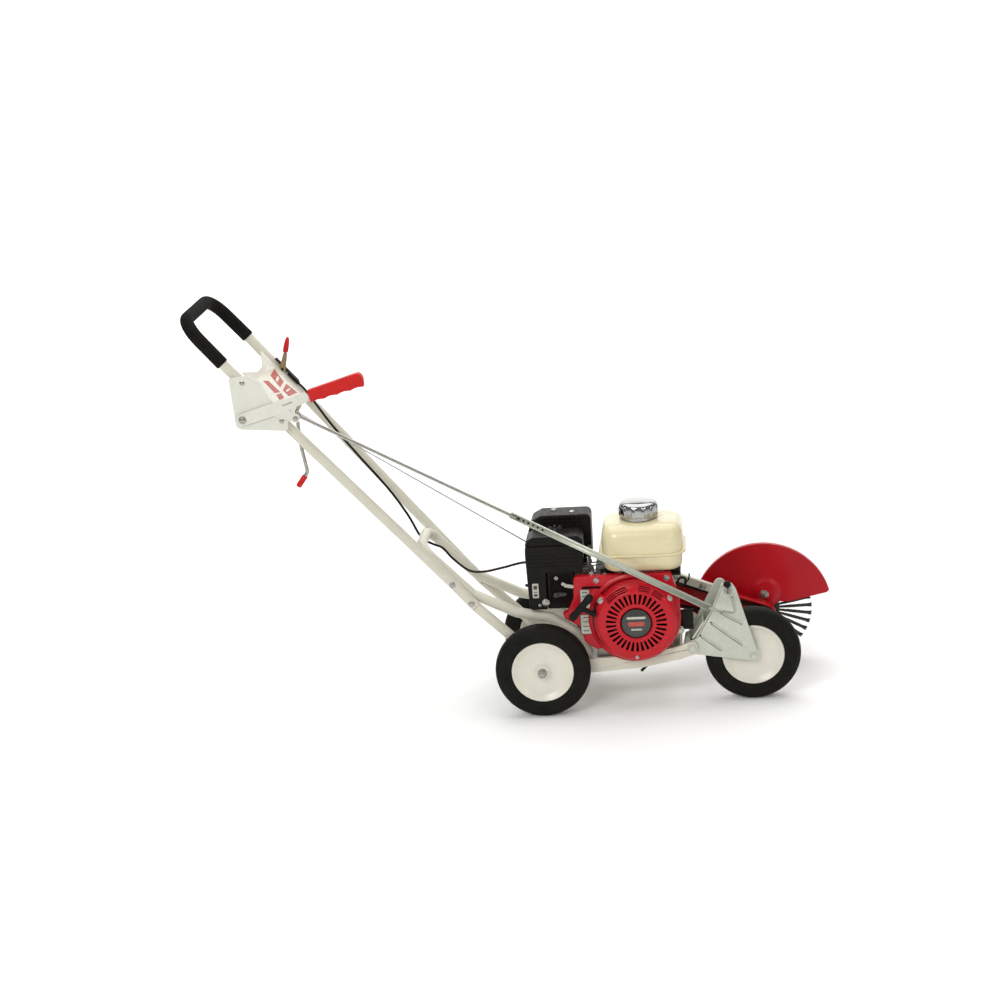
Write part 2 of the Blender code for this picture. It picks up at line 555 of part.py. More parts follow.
def build_controls():
    plate = rounded([(-606, 773, 5), (-566, 777, 14), (-540, 762, 14), (-522, 722, 16), (-488, 703, 4),
                     (-492, 656, 8), (-600, 664, 14)], 3)
    add_node("control_plate", prism(plate, -142, -139, [(LEVER_X, LEVER_Z, 5 + GAP)]), "pale_zinc")
    pivot = (LEVER_X, 0, LEVER_Z)
    arm = prism(hull([(LEVER_X, LEVER_Z, 13), (-500, 709, 13), (-452, 726, 11)], 20), LEVER_Y, LEVER_Y + 3,
                [(LEVER_X, LEVER_Z, 5 + GAP)])
    branch = prism(hull([(-512, 700, 12), (ROD_TOP[0], ROD_TOP[2], 9)], 20), LEVER_Y, LEVER_Y + 3)
    pin = rod((ROD_TOP[0], LEVER_Y + 1, ROD_TOP[2]), (ROD_TOP[0], -113, ROD_TOP[2]), 3.6, 12)
    add_node("depth_lever", union(arm, branch, pin), "pale_zinc", pivot)
    head = [(0, 0), (10, 0), (10, 3), (5, 6), (0, 6)]
    head = lathe(head, (LEVER_X, LEVER_Y - 0.4, LEVER_Z), (0, -1, 0), 16)
    bolt = union(rod((LEVER_X, LEVER_Y - 4, LEVER_Z), (LEVER_X, -132, LEVER_Z), 5, 12), head)
    add_node("depth_lever_bolt", bolt, "bright_steel")
    add_node("depth_lever_grip", prism(finger_grip(), LEVER_Y - 7, LEVER_Y + 10, bevel=3), "red_vinyl", pivot)

    top, join, foot = Vector(ROD_TOP), Vector(ROD_JOIN), Vector(ROD_FOOT)
    aim = (join - top).normalized()
    eye = rod(top - Vector((0, 4, 0)), top + Vector((0, 4, 0)), 8, 16)
    hole = rod(top - Vector((0, 9, 0)), top + Vector((0, 9, 0)), 3.6 + GAP, 14)
    aim = (foot - join).normalized()
    hook = [foot - aim * 4, foot + Vector((18, 1, -7)), Vector((412, -112, 212)), Vector((407, -112, 238)),
            Vector((404.5, -112, 247))]
    pieces = [eye, rod(top + aim * 5, join + aim * 6, 3.7, 10), bar_between(join, foot, 6.0, 10.5),
              tube(bent(hook, 5, 3), 2.4, 8)]
    add_node("depth_rod", cut(union(*pieces), hole), "bright_steel", ROD_TOP)

    panel_half = handle_half(560) - TUBE_RADIUS - 12
    corners = []
    for s, y in ((490, -panel_half + 3), (490, -76), (512, -76), (512, -58), (490, -58),
                 (490, panel_half - 3), (628, panel_half), (602, 34), (602, -30), (626, -panel_half)):
        corners.append(on_handle(s, MID_Y + y, 6))
    hanger = [prism([(-508, 685), (-524, 704), (-470, 715), (-461, 708), (-461, 700), (-468, 695)],
                    CLUTCH_Y - 12, CLUTCH_Y - 5),
              rod((CLUTCH_X, CLUTCH_Y - 8, CLUTCH_Z), (CLUTCH_X, CLUTCH_Y + 5, CLUTCH_Z), 3, 12)]
    add_node("control_panel", union(slab(corners, HANDLE_UP * 2.5), *hanger), "cream_paint")

    pivot = Vector((THROTTLE_X, THROTTLE_Y, THROTTLE_Z))
    bar_y, bar_up = THROTTLE_Y + 8, TUBE_RADIUS + 3.1
    bar = bar_between(on_handle(524, bar_y, bar_up), on_handle(594, bar_y, bar_up), 10, 4)
    cheek = rod((pivot.x, THROTTLE_Y + 2, pivot.z), (pivot.x, THROTTLE_Y + 3.6, pivot.z), 7, 16)
    pin = rod((pivot.x, THROTTLE_Y - 3, pivot.z), (pivot.x, THROTTLE_Y + 3, pivot.z), 3, 12)
    add_node("throttle_bracket", union(bar, cheek, pin), "black_plastic")
    shank = prism(hull([(pivot.x, pivot.z, 7), (-535, 763, 4)], 16), THROTTLE_Y - 1.5, THROTTLE_Y + 1.5,
                  [(pivot.x, pivot.z, 3 + GAP)])
    add_node("throttle_lever", shank, "brass_zinc", pivot)
    tip = [(0, 0), (5.5, 0), (6, 4), (5, 26), (2.5, 33), (0, 34)]
    tip = lathe(tip, (-534.2, THROTTLE_Y, 767.4), (9, 0, 35), 12)
    add_node("throttle_tip", tip, "red_vinyl", pivot)

    throttle_cable()

    route = [(-472.6, CLUTCH_Y, 700.2), (-487, CLUTCH_Y, 676), (-486, CLUTCH_Y, 640), (-484, CLUTCH_Y, 600),
             (-475.5, CLUTCH_Y, 544.2), (-480.3, CLUTCH_Y, 537.8)]
    pivot = (CLUTCH_X, 0, CLUTCH_Z)
    eye = rod((CLUTCH_X, CLUTCH_Y - 4, CLUTCH_Z), (CLUTCH_X, CLUTCH_Y + 4, CLUTCH_Z), 8, 16)
    hole = rod((CLUTCH_X, CLUTCH_Y - 9, CLUTCH_Z), (CLUTCH_X, CLUTCH_Y + 9, CLUTCH_Z), 3 + GAP, 12)
    add_node("clutch_lever", cut(union(tube(bent(route, 14, 4), 4.0, 10), eye), hole), "bright_steel", pivot)
    tip = rod((-480.5, CLUTCH_Y, 537.5), (-499, CLUTCH_Y, 513), 6, 12)
    add_node("clutch_tip", tip, "red_vinyl", pivot)
    rod_top = Vector(CLUTCH_ROD_TOP)
    add_node("clutch_rod", rod(rod_top, CLUTCH_ROD_FOOT, 1.5, 8), "bright_steel", CLUTCH_ROD_TOP)


def finger_grip():
    """The outline of the depth lever's handle, with finger hollows along its lower edge."""
    start, aim = Vector((-440, 729)), Vector((111, 30)).normalized()
    across = Vector((-aim.y, aim.x))
    length, outline = 115, []
    for k in range(25):
        t = k / 24
        drop = -(13 + 2 * t) + 2.2 * abs(math.sin(4 * math.pi * t))
        outline.append(tuple(start + aim * length * t + across * drop))
    outline.append(tuple(start + aim * (length + 3) + across * 10))
    outline.append(tuple(start + aim * (length - 4) + across * 16))
    outline.append(tuple(start + across * 13.5))
    return outline


def bar_between(start, end, width, height):
    """A rectangular bar from start to end, width across Y and height across its length."""
    start, end = Vector(start), Vector(end)
    aim = (end - start).normalized()
    side = Vector((0, 1, 0)) - aim * aim.y
    side.normalize()
    up = aim.cross(side)
    signs = ((-1, -1), (1, -1), (1, 1), (-1, 1))
    corners = [start + side * width / 2 * a + up * height / 2 * b for a, b in signs]
    return slab(corners, end - start)


def slab(corners, depth):
    """A flat outline of 3-D points given a depth."""
    bm = bmesh.new()
    face = bm.faces.new([bm.verts.new(p) for p in corners])
    grown = bmesh.ops.extrude_face_region(bm, geom=[face])
    moved = [e for e in grown["geom"] if isinstance(e, bmesh.types.BMVert)]
    bmesh.ops.translate(bm, verts=moved, vec=depth)
    bmesh.ops.recalc_face_normals(bm, faces=bm.faces)
    return bm


def throttle_cable():
    """The black cable from the throttle, along the far leg and round to the carburettor."""
    route = [(-511, 117, 697), (-497, 116, 681), (-478, 108, 655), (-440, 92, 604), (-388, 84, 537),
             (-330, 82, 462), (-290, 74, 402), (-263, 61, 354), (-238, 46, 342), (-213, 30, 336),
             (-191, 15, 316), (-157, 5, 291), (-125, 0, 288), (-81, -1, 296), (-36, -2.5, 306),
             (20, -4, 305), (62, -5, 298), (82, -8, 288)]
    curve = bpy.data.curves.new("throttle_cable", "CURVE")
    curve.dimensions = "3D"
    curve.bevel_depth = CABLE_RADIUS * MM
    curve.bevel_resolution = 2
    curve.use_fill_caps = True
    points = [Vector(p) for p in route]
    smooth = []
    padded = [2 * points[0] - points[1]] + points + [2 * points[-1] - points[-2]]
    for a, b, c, d in zip(padded, padded[1:], padded[2:], padded[3:]):
        for k in range(3):
            t = k / 3
            smooth.append((b * 2 + (c - a) * t + (a * 2 - b * 5 + c * 4 - d) * t * t
                           + (b * 3 - a - c * 3 + d) * t * t * t) / 2)
    smooth.append(points[-1])
    spline = curve.splines.new("POLY")
    spline.points.add(len(smooth) - 1)
    for target, point in zip(spline.points, smooth):
        target.co = (point.x * MM, point.y * MM, point.z * MM, 1)
    curve.materials.append(material("throttle_cable", "black_plastic"))
    bpy.context.collection.objects.link(bpy.data.objects.new("throttle_cable", curve))


def main():
    clear_scene()
    build_frame()
    for label, x, y in (("near", 0, REAR_NEAR_Y), ("far", 0, REAR_FAR_Y), ("front", FRONT_X, FRONT_Y)):
        build_wheel(label, x, y)
    build_fork()
    build_engine()
    build_drive()
    build_guards()
    build_controls()


main()
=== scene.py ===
"""Looks for the walk-behind lawn edger. X points forward, Y to the machine's left, Z up. Sizes are in
millimetres here and become metres when a mesh is made."""
from math import atan2, cos, pi, radians, sin, tan

import bmesh
import bpy
from mathutils import Matrix, Vector


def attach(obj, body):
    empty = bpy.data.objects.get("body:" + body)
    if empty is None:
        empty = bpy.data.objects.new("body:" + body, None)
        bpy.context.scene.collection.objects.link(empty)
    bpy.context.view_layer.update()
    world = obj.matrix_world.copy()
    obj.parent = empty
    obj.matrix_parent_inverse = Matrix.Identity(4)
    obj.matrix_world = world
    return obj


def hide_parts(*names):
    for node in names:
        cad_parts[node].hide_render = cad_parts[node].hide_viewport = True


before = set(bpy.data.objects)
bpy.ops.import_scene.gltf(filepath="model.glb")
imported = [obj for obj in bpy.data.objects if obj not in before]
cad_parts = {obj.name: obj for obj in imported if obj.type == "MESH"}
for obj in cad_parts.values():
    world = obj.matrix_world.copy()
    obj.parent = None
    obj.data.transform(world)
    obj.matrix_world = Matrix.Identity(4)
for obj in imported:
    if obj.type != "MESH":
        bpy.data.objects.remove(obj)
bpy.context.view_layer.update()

MM = 0.001

# Camera, in metres and degrees
CAMERA_AT = (0.35299, -4.3094, 1.7031)
CAMERA_YAW, CAMERA_PITCH, CAMERA_ROLL = -5.7119, 16.1687, -4.0435
LENS, SENSOR = 75.98, 36.0

# The object's own dimensions, in millimetres
WHEEL_RADIUS, WHEEL_WIDTH = 101.6, 44.5
FRONT_X, FRONT_Y, NEAR_Y, FAR_Y = 446.0, -52.0, -115.0, 129.0
MID_Y, TUBE_RADIUS = 7.0, 11.1
HANDLE_FOOT, HANDLE_GRIP = (-184.0, 292.0), (-615.0, 798.0)
FOOT_HALF, GRIP_HALF = 87.0, 135.0
HANDLE_END, GRIP_START, GRIP_TOP = -72.0, 668.0, 785.0
GRIP_RADIUS, HANDLE_BEND = 14.0, 52.0
FRAME_HALF = FOOT_HALF - 2 * TUBE_RADIUS - 0.6
PIVOT_X, PIVOT_Z = 318.0, 127.0
CRANK_X, CRANK_Z, BELT_Y = 203.0, 201.0, 138.0
BRUSH_X, BRUSH_Z, BRUSH_Y = 474.0, 112.5, 196.0
DRIVE_RADIUS, DRIVEN_RADIUS = 30.0, 22.0
KNOTS, STRANDS, STRAND_STEPS = 36, 5, 22
KNOT_ROOT, KNOT_LENGTH = 38.0, 73.0
GUARD_Y, GUARD_RADIUS, GUARD_BOLT = 180.0, 154.0, (480.0, 148.0)
LEVER_X, LEVER_Z, LEVER_Y = -584.0, 685.0, -147.0
ROD_TOP, ROD_JOIN, ROD_FOOT = (-473.0, -120.0, 683.0), (-47.0, -116.9, 448.2), (358.0, -114.0, 225.0)
THROTTLE_X, THROTTLE_Y, THROTTLE_Z = -544.0, 120.0, 730.0
CLUTCH_X, CLUTCH_Y, CLUTCH_Z = -470.0, -60.0, 705.0
IDLER_X, IDLER_Z = 262.6, 108.5


# ---- Materials ---------------------------------------------------------------------------------

class Nodes:
    """A small helper that adds shader nodes to one material."""

    def __init__(self, name):
        self.material = bpy.data.materials.new(name)
        self.material.use_nodes = True
        self.tree = self.material.node_tree
        self.shader = self.tree.nodes["Principled BSDF"]
        self.coords = self.tree.nodes.new("ShaderNodeTexCoord")

    def add(self, kind, **values):
        node = self.tree.nodes.new(kind)
        for key, value in values.items():
            node.inputs[key].default_value = value
        return node

    def feed(self, target, value):
        """Links an input to another node's output, or sets it to a plain value."""
        if isinstance(value, bpy.types.NodeSocket):
            self.tree.links.new(value, target)
        else:
            target.default_value = value

    def place(self, scale=(1, 1, 1)):
        mapping = self.add("ShaderNodeMapping", Scale=scale)
        self.feed(mapping.inputs["Vector"], self.coords.outputs["Object"])
        return mapping.outputs["Vector"]

    def noise(self, size_mm, detail=3.0, roughness=0.5, stretch=(1, 1, 1)):
        """Noise whose blobs are about size_mm across."""
        noise = self.add("ShaderNodeTexNoise", Scale=1 / (size_mm * MM), Detail=detail, Roughness=roughness)
        self.feed(noise.inputs["Vector"], self.place(stretch))
        return noise.outputs["Fac"]

    def cells(self, size_mm):
        cells = self.add("ShaderNodeTexVoronoi", Scale=1 / (size_mm * MM))
        self.feed(cells.inputs["Vector"], self.place())
        return cells.outputs

    def ramp(self, source, stops):
        ramp = self.add("ShaderNodeValToRGB")
        for element, (at, colour) in zip(ramp.color_ramp.elements, stops):
            element.position, element.color = at, (*colour, 1)
        self.feed(ramp.inputs["Fac"], source)
        return ramp.outputs["Color"]

    def spread(self, source, low, high):
        """Maps the middle of a noise onto a range."""
        limits = {"From Min": 0.3, "From Max": 0.7, "To Min": low, "To Max": high}
        spread = self.add("ShaderNodeMapRange", **limits)
        self.feed(spread.inputs["Value"], source)
        return spread.outputs["Result"]

    def mix(self, factor, first, second):
        mix = self.add("ShaderNodeMixRGB")
        for socket, value in (("Fac", factor), ("Color1", first), ("Color2", second)):
            self.feed(mix.inputs[socket], value)
        return mix.outputs["Color"]

    def bump(self, source, strength, height_mm, under=None):
        bump = self.add("ShaderNodeBump", Strength=strength, Distance=height_mm * MM)
        self.feed(bump.inputs["Height"], source)
        if under:
            self.feed(bump.inputs["Normal"], under)
        return bump.outputs["Normal"]

    def made(self, inputs):
        """Gives the shader its inputs and returns the material."""
        for socket, value in inputs.items():
            self.feed(self.shader.inputs[socket], value)
        return self.material


def shade(colour, factor):
    return tuple(min(1.0, c * factor) for c in colour)


def surface(name, colour, roughness, metallic=0.0, mottle=0.06, mottle_mm=45, grain_mm=1.2, grain=0.15,
        grain_height=0.05, coat=0.0, dust=0.0, stretch=(1, 1, 1), specular=0.5):
    """A finish with slow colour changes, patchy gloss, a fine grain and a little settled dust."""
    n = Nodes(name)
    slow = n.noise(mottle_mm, 4.0, 0.6, stretch)
    base = n.ramp(slow, [(0.3, shade(colour, 1 - mottle)), (0.7, shade(colour, 1 + mottle))])
    if dust:
        base = n.mix(n.spread(n.noise(3.0, 6.0, 0.75), 0.0, dust), base, (0.42, 0.37, 0.28, 1))
    patchy = n.noise(mottle_mm * 0.35, 5.0, 0.65, stretch)
    gloss = n.spread(patchy, roughness * 0.82, min(1.0, roughness * 1.22))
    fine = n.bump(n.noise(grain_mm, 3.0, 0.6, stretch), grain, grain_height)
    return n.made({"Base Color": base, "Roughness": gloss, "Normal": fine, "Metallic": metallic,
        "Specular IOR Level": specular, "Coat Weight": coat, "Coat Roughness": 0.12})


def foam(name):
    n = Nodes(name)
    cells = n.cells(1.5)
    base = n.ramp(n.noise(25, 4.0, 0.6), [(0.3, (0.005, 0.0045, 0.0035)), (0.7, (0.011, 0.010, 0.008))])
    rough = n.bump(n.noise(6, 4.0, 0.7), 0.3, 0.5)
    return n.made({"Base Color": base, "Roughness": 0.88, "Specular IOR Level": 0.12,
        "Normal": n.bump(cells["Distance"], 0.55, 0.5, rough)})


def zinc(name, colour, roughness):
    """Plated sheet: faint crystal patches, a brushed grain and scuffs."""
    n = Nodes(name)
    patches = n.ramp(n.cells(9)["Color"], [(0.0, shade(colour, 0.93)), (1.0, shade(colour, 1.05))])
    base = n.mix(n.spread(n.noise(60, 5.0, 0.65), 0.0, 0.5), patches, (*shade(colour, 0.86), 1))
    scuffs = n.noise(2.2, 6.0, 0.7, (1.0, 1.0, 0.18))
    gloss = n.spread(scuffs, roughness * 0.8, roughness * 1.3)
    return n.made({"Base Color": base, "Metallic": 0.45, "Roughness": gloss,
        "Normal": n.bump(scuffs, 0.12, 0.04)})


def decal(name):
    """A worn printed sheet: off-white with a faint green-grey cast."""
    n = Nodes(name)
    wear = n.noise(5, 6.0, 0.7)
    base = n.ramp(wear, [(0.35, (0.60, 0.58, 0.46)), (0.6, (0.74, 0.71, 0.60))])
    return n.made({"Base Color": base, "Roughness": 0.35, "Coat Weight": 0.3,
        "Normal": n.bump(wear, 0.1, 0.05)})


SURFACES = {
    "cream_paint": ((0.60, 0.575, 0.475), 0.38, dict(mottle=0.05, grain_mm=1.6, coat=0.10, dust=0.10)),
    "plate_paint": ((0.66, 0.66, 0.59), 0.40, dict(mottle=0.04, mottle_mm=30, coat=0.1, dust=0.08)),
    "tank_cream": ((0.70, 0.62, 0.385), 0.30, dict(mottle=0.03, mottle_mm=90, coat=0.35)),
    "engine_red": ((0.46, 0.004, 0.012), 0.34, dict(mottle=0.10, mottle_mm=40, coat=0.2, specular=0.22)),
    "red_paint": ((0.40, 0.002, 0.008), 0.36, dict(mottle=0.08, mottle_mm=90, coat=0.12, specular=0.2)),
    "red_vinyl": ((0.52, 0.008, 0.006), 0.45, dict(mottle=0.08, mottle_mm=20, grain_mm=0.8, grain=0.3,
        specular=0.3)),
    "white_rim": ((0.70, 0.675, 0.585), 0.36, dict(mottle=0.05, mottle_mm=60, coat=0.2, dust=0.08)),
    "tyre": ((0.0065, 0.006, 0.0042), 0.66, dict(mottle=0.35, mottle_mm=25, grain_mm=0.7, grain=0.35,
        specular=0.14)),
    "black_rubber": ((0.006, 0.006, 0.005), 0.55, dict(mottle=0.3, grain_mm=0.6, grain=0.3, specular=0.16)),
    "black_plastic": ((0.005, 0.0045, 0.003), 0.42,
        dict(mottle=0.3, mottle_mm=30, grain_mm=0.9, grain=0.35, specular=0.16)),
    "black_paint": ((0.007, 0.006, 0.004), 0.44, dict(mottle=0.3, mottle_mm=30, grain_mm=1.0, grain=0.3,
        specular=0.18)),
    "cast_aluminium": ((0.34, 0.33, 0.29), 0.46, dict(metallic=0.85, mottle=0.2, mottle_mm=18, grain_mm=1.4,
        grain=0.5, grain_height=0.12)),
    "bright_steel": ((0.40, 0.395, 0.36), 0.27, dict(metallic=0.95, mottle=0.14, mottle_mm=14,
        stretch=(0.3, 1, 1))),
    "chrome": ((0.40, 0.40, 0.40), 0.13, dict(metallic=1.0, mottle=0.05, mottle_mm=25, grain_mm=14,
        grain=0.25, grain_height=0.4)),
    "dark_steel": ((0.055, 0.052, 0.046), 0.42, dict(metallic=0.8, mottle=0.2, mottle_mm=8, grain=0.3)),
    "wire": ((0.040, 0.038, 0.036), 0.4, dict(metallic=0.6, mottle=0.3, mottle_mm=5, grain=0.2)),
    "brass_zinc": ((0.30, 0.23, 0.13), 0.42, dict(metallic=0.6, mottle=0.12, mottle_mm=10)),
    "red_print": ((0.46, 0.075, 0.060), 0.4, dict(mottle=0.25, mottle_mm=6, specular=0.3)),
    "silver_label": ((0.50, 0.49, 0.42), 0.4, dict(metallic=0.2, mottle=0.16, mottle_mm=4)),
    "dark_badge": ((0.030, 0.030, 0.028), 0.35, dict(mottle=0.15, coat=0.3)),
    "shadow": ((0.006, 0.003, 0.003), 0.7, dict(mottle=0.2, specular=0.1)),
}
MATERIALS = {name: surface(name, colour, roughness, **options)
    for name, (colour, roughness, options) in SURFACES.items()}
MATERIALS["pale_zinc"] = zinc("pale_zinc", (0.55, 0.575, 0.49), 0.38)
MATERIALS.update(foam=foam("foam"), decal=decal("decal"))


# ---- Mesh tools --------------------------------------------------------------------------------

def show(obj):
    bpy.context.scene.collection.objects.link(obj)


def piece(name, bm, finish, *replaced, body="frame", bevel=0.0, angle=35, segments=2, thickness=0.0):
    """Makes a piece from a bmesh in millimetres. It rides on a body and may stand for CAD nodes."""
    bmesh.ops.scale(bm, verts=bm.verts, vec=(MM, MM, MM))
    if not thickness:
        bmesh.ops.recalc_face_normals(bm, faces=bm.faces)
    mesh = bpy.data.meshes.new(name)
    bm.to_mesh(mesh)
    bm.free()
    mesh.shade_smooth()
    mesh.set_sharp_from_angle(angle=radians(angle))
    mesh.materials.append(MATERIALS[finish])
    obj = bpy.data.objects.new(name, mesh)
    show(obj)
    if thickness:
        solid = obj.modifiers.new("thickness", "SOLIDIFY")
        solid.thickness = thickness * MM
        solid.offset = -1
    if bevel:
        edges = obj.modifiers.new("edges", "BEVEL")
        edges.width = bevel * MM
        edges.segments = segments
        edges.limit_method = "ANGLE"
        edges.angle_limit = radians(40)
        edges.harden_normals = True
    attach(obj, body)
    if replaced:
        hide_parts(*replaced)
    return obj


def merge(*shapes):
    """Puts several bmeshes into the first one."""
    body = shapes[0]
    for shape in shapes[1:]:
        mesh = bpy.data.meshes.new("part")
        shape.to_mesh(mesh)
        shape.free()
        body.from_mesh(mesh)
        bpy.data.meshes.remove(mesh)
    return body


def circle(x, z, radius, count=48):
    steps = [2 * pi * i / count for i in range(count)]
    return [(x + radius * cos(a), z + radius * sin(a)) for a in steps]


def turn(a, b, c):
    return (b[0] - a[0]) * (c[1] - a[1]) - (b[1] - a[1]) * (c[0] - a[0])


def hull(circles, count=64):
    """The outline of a band stretched round circles given as (x, z, radius)."""
    points = sorted({p for x, z, r in circles for p in circle(x, z, r, count)})
    outline = []
    for ordered in (points, points[::-1]):
        chain = []
        for p in ordered:
            while len(chain) > 1 and turn(chain[-2], chain[-1], p) <= 1e-6:
                chain.pop()
            chain.append(p)
        outline += chain[:-1]
    return outline


def rounded(corners, steps=8):
    """An outline whose corners, given as (x, z, radius), are rounded."""
    outline = []
    for i, (x, z, radius) in enumerate(corners):
        here = Vector((x, z))
        before = (Vector(corners[i - 1][:2]) - here).normalized()
        after = (Vector(corners[(i + 1) % len(corners)][:2]) - here).normalized()
        if radius == 0:
            outline.append((x, z))
            continue
        half = before.angle(after) / 2
        centre = here + (before + after).normalized() * radius / sin(half)
        start = here + before * radius / tan(half) - centre
        finish = here + after * radius / tan(half) - centre
        for k in range(steps + 1):
            spoke = start.lerp(finish, k / steps).normalized() * radius
            outline.append(tuple(centre + spoke))
    return outline


def rectangle(x0, x1, z0, z1, radius=0.0, steps=4):
    return rounded([(x0, z0, radius), (x1, z0, radius), (x1, z1, radius), (x0, z1, radius)], steps)


def mirrored(half):
    """A whole turned profile from the half above its middle, listed from the inside out."""
    return [(r, -h) for r, h in half] + [(r, h) for r, h in half[::-1] if h]


def extrude(bm, depth):
    """Gives a flat sheet a depth."""
    grown = bmesh.ops.extrude_face_region(bm, geom=bm.faces[:])
    moved = [e for e in grown["geom"] if isinstance(e, bmesh.types.BMVert)]
    bmesh.ops.translate(bm, verts=moved, vec=depth)
    return bm


def face_near(bm):
    """Turns an open sheet so that its faces point to the near side."""
    bmesh.ops.recalc_face_normals(bm, faces=bm.faces)
    if sum(f.normal.y for f in bm.faces) > 0:
        bmesh.ops.reverse_faces(bm, faces=bm.faces)


def prism(outline, y0, y1, holes=()):
    """A plate cut to an outline in XZ, from y0 to y1, with holes given as outlines."""
    bm = bmesh.new()
    edges = []
    for loop in [outline] + list(holes):
        verts = [bm.verts.new((x, y0, z)) for x, z in loop]
        edges += [bm.edges.new((v, verts[i - 1])) for i, v in enumerate(verts)]
    if holes:
        bmesh.ops.triangle_fill(bm, use_beauty=True, use_dissolve=False, edges=edges)
    else:
        bm.faces.new(bm.verts[:])
    return extrude(bm, (0, y1 - y0, 0))


def box(x, y, z):
    bm = bmesh.new()
    bmesh.ops.create_cube(bm, size=1)
    size = Vector((x[1] - x[0], y[1] - y[0], z[1] - z[0]))
    bmesh.ops.scale(bm, verts=bm.verts, vec=size)
    bmesh.ops.translate(bm, verts=bm.verts, vec=Vector((x[1] + x[0], y[1] + y[0], z[1] + z[0])) / 2)
    return bm


def lathe(profile, centre, axis=(0, 1, 0), count=96, closed=True):
    """Turns a profile of (radius, height) about an axis through centre."""
    bm = bmesh.new()
    frame_at = Vector(axis).to_track_quat("Z", "Y").to_matrix().to_4x4()
    frame_at.translation = Vector(centre)
    rings = []
    for radius, height in profile:
        if radius == 0:
            rings.append([bm.verts.new(frame_at @ Vector((0, 0, height)))] * count)
            continue
        rings.append([bm.verts.new(frame_at @ Vector((x, y, height)))
            for x, y in circle(0, 0, radius, count)])
    pairs = list(zip(rings, rings[1:]))
    if closed and profile[0][0] and profile[-1][0]:
        pairs.append((rings[-1], rings[0]))
    for lower, upper in pairs:
        for i in range(count):
            corners = [lower[i - 1], lower[i], upper[i], upper[i - 1]]
            unique = [v for k, v in enumerate(corners) if v is not corners[k - 1]]
            bm.faces.new(unique)
    return bm


def disc(radius, depth, centre, axis=(0, -1, 0), count=20, bore=0):
    return lathe([(bore, 0), (radius, 0), (radius, depth), (bore, depth)], centre, axis, count)


def rod(start, end, radius, count=32, bore=0):
    start, end = Vector(start), Vector(end)
    return disc(radius, (end - start).length, start, end - start, count, bore)


def cross_bar(x, z, y0, y1, radius, count=32, bore=0):
    """A round bar or ring that lies along Y."""
    return rod((x, y0, z), (x, y1, z), radius, count, bore)


def bent(points, radius, steps=12):
    """A route through points whose corners are rounded to a bend radius."""
    points = [Vector(p) for p in points]
    route = [points[0]]
    for before, here, after in zip(points, points[1:], points[2:]):
        inward, outward = (before - here).normalized(), (after - here).normalized()
        half = inward.angle(outward) / 2
        if half > radians(88):
            route.append(here)
            continue
        reach = min(radius / tan(half), (before - here).length * 0.49, (after - here).length * 0.49)
        bend = reach * tan(half)
        centre = here + (inward + outward).normalized() * bend / sin(half)
        start, finish = here + inward * reach - centre, here + outward * reach - centre
        for k in range(steps + 1):
            route.append(centre + start.lerp(finish, k / steps).normalized() * bend)
    return route + [points[-1]]


def curve_through(points, steps=4):
    """A smooth route through points."""
    points = [Vector(p) for p in points]
    padded = [2 * points[0] - points[1]] + points + [2 * points[-1] - points[-2]]
    route = []
    for a, b, c, d in zip(padded, padded[1:], padded[2:], padded[3:]):
        for k in range(steps):
            t = k / steps
            line = b * 2 + (c - a) * t
            square = (a * 2 - b * 5 + c * 4 - d) * t * t
            cube = (b * 3 - a - c * 3 + d) * t * t * t
            route.append((line + square + cube) / 2)
    return route + [points[-1]]


def tube(route, radius, count=32, bore=0.0, swell=None):
    """A round bar or sleeve along a route. swell gives a radius factor at each share of the route."""
    bm = bmesh.new()
    route = [Vector(p) for p in route]
    aims = [(b - a).normalized() for a, b in zip(route, route[1:])]
    aims = [aims[0]] + [(a + b).normalized() for a, b in zip(aims, aims[1:])] + [aims[-1]]
    side = aims[0].orthogonal().normalized()
    layers = []
    for k, (point, aim) in enumerate(zip(route, aims)):
        side = (side - aim * side.dot(aim)).normalized()
        up = aim.cross(side)
        factor = swell(k / (len(route) - 1)) if swell else 1.0
        rings = []
        for r in ([radius * factor, bore] if bore else [radius * factor]):
            rings.append([bm.verts.new(point + side * x + up * y) for x, y in circle(0, 0, r, count)])
        layers.append(rings)
    for lower, upper in zip(layers, layers[1:]):
        for low, high in zip(lower, upper):
            for i in range(count):
                bm.faces.new((low[i - 1], low[i], high[i], high[i - 1]))
    for layer in (layers[0], layers[-1]):
        if not bore:
            bm.faces.new(layer[0])
            continue
        outer, inner = layer
        for i in range(count):
            bm.faces.new((outer[i - 1], outer[i], inner[i], inner[i - 1]))
    return bm


def bar_between(start, end, width, height):
    start, end = Vector(start), Vector(end)
    aim = (end - start).normalized()
    side = Vector((0, 1, 0)) - aim * aim.y
    side.normalize()
    up = aim.cross(side)
    corners = [start + side * width / 2 * a + up * height / 2 * b
        for a, b in ((-1, -1), (1, -1), (1, 1), (-1, 1))]
    return slab(corners, end - start)


def slab(corners, depth):
    """A flat outline of 3-D points given a depth."""
    bm = bmesh.new()
    bm.faces.new([bm.verts.new(p) for p in corners])
    return extrude(bm, depth)


def loft(sections, count=12):
    """A shell through rounded rectangles given as (z, x0, x1, y0, y1, corner radius)."""
    bm = bmesh.new()
    rings = []
    for z, x0, x1, y0, y1, radius in sections:
        outline = rectangle(x0, x1, y0, y1, radius, count)
        rings.append([bm.verts.new((x, y, z)) for x, y in outline])
    for lower, upper in zip(rings, rings[1:]):
        for i in range(len(lower)):
            bm.faces.new((lower[i - 1], lower[i], upper[i], upper[i - 1]))
    bm.faces.new(rings[0])
    bm.faces.new(rings[-1])
    return bm


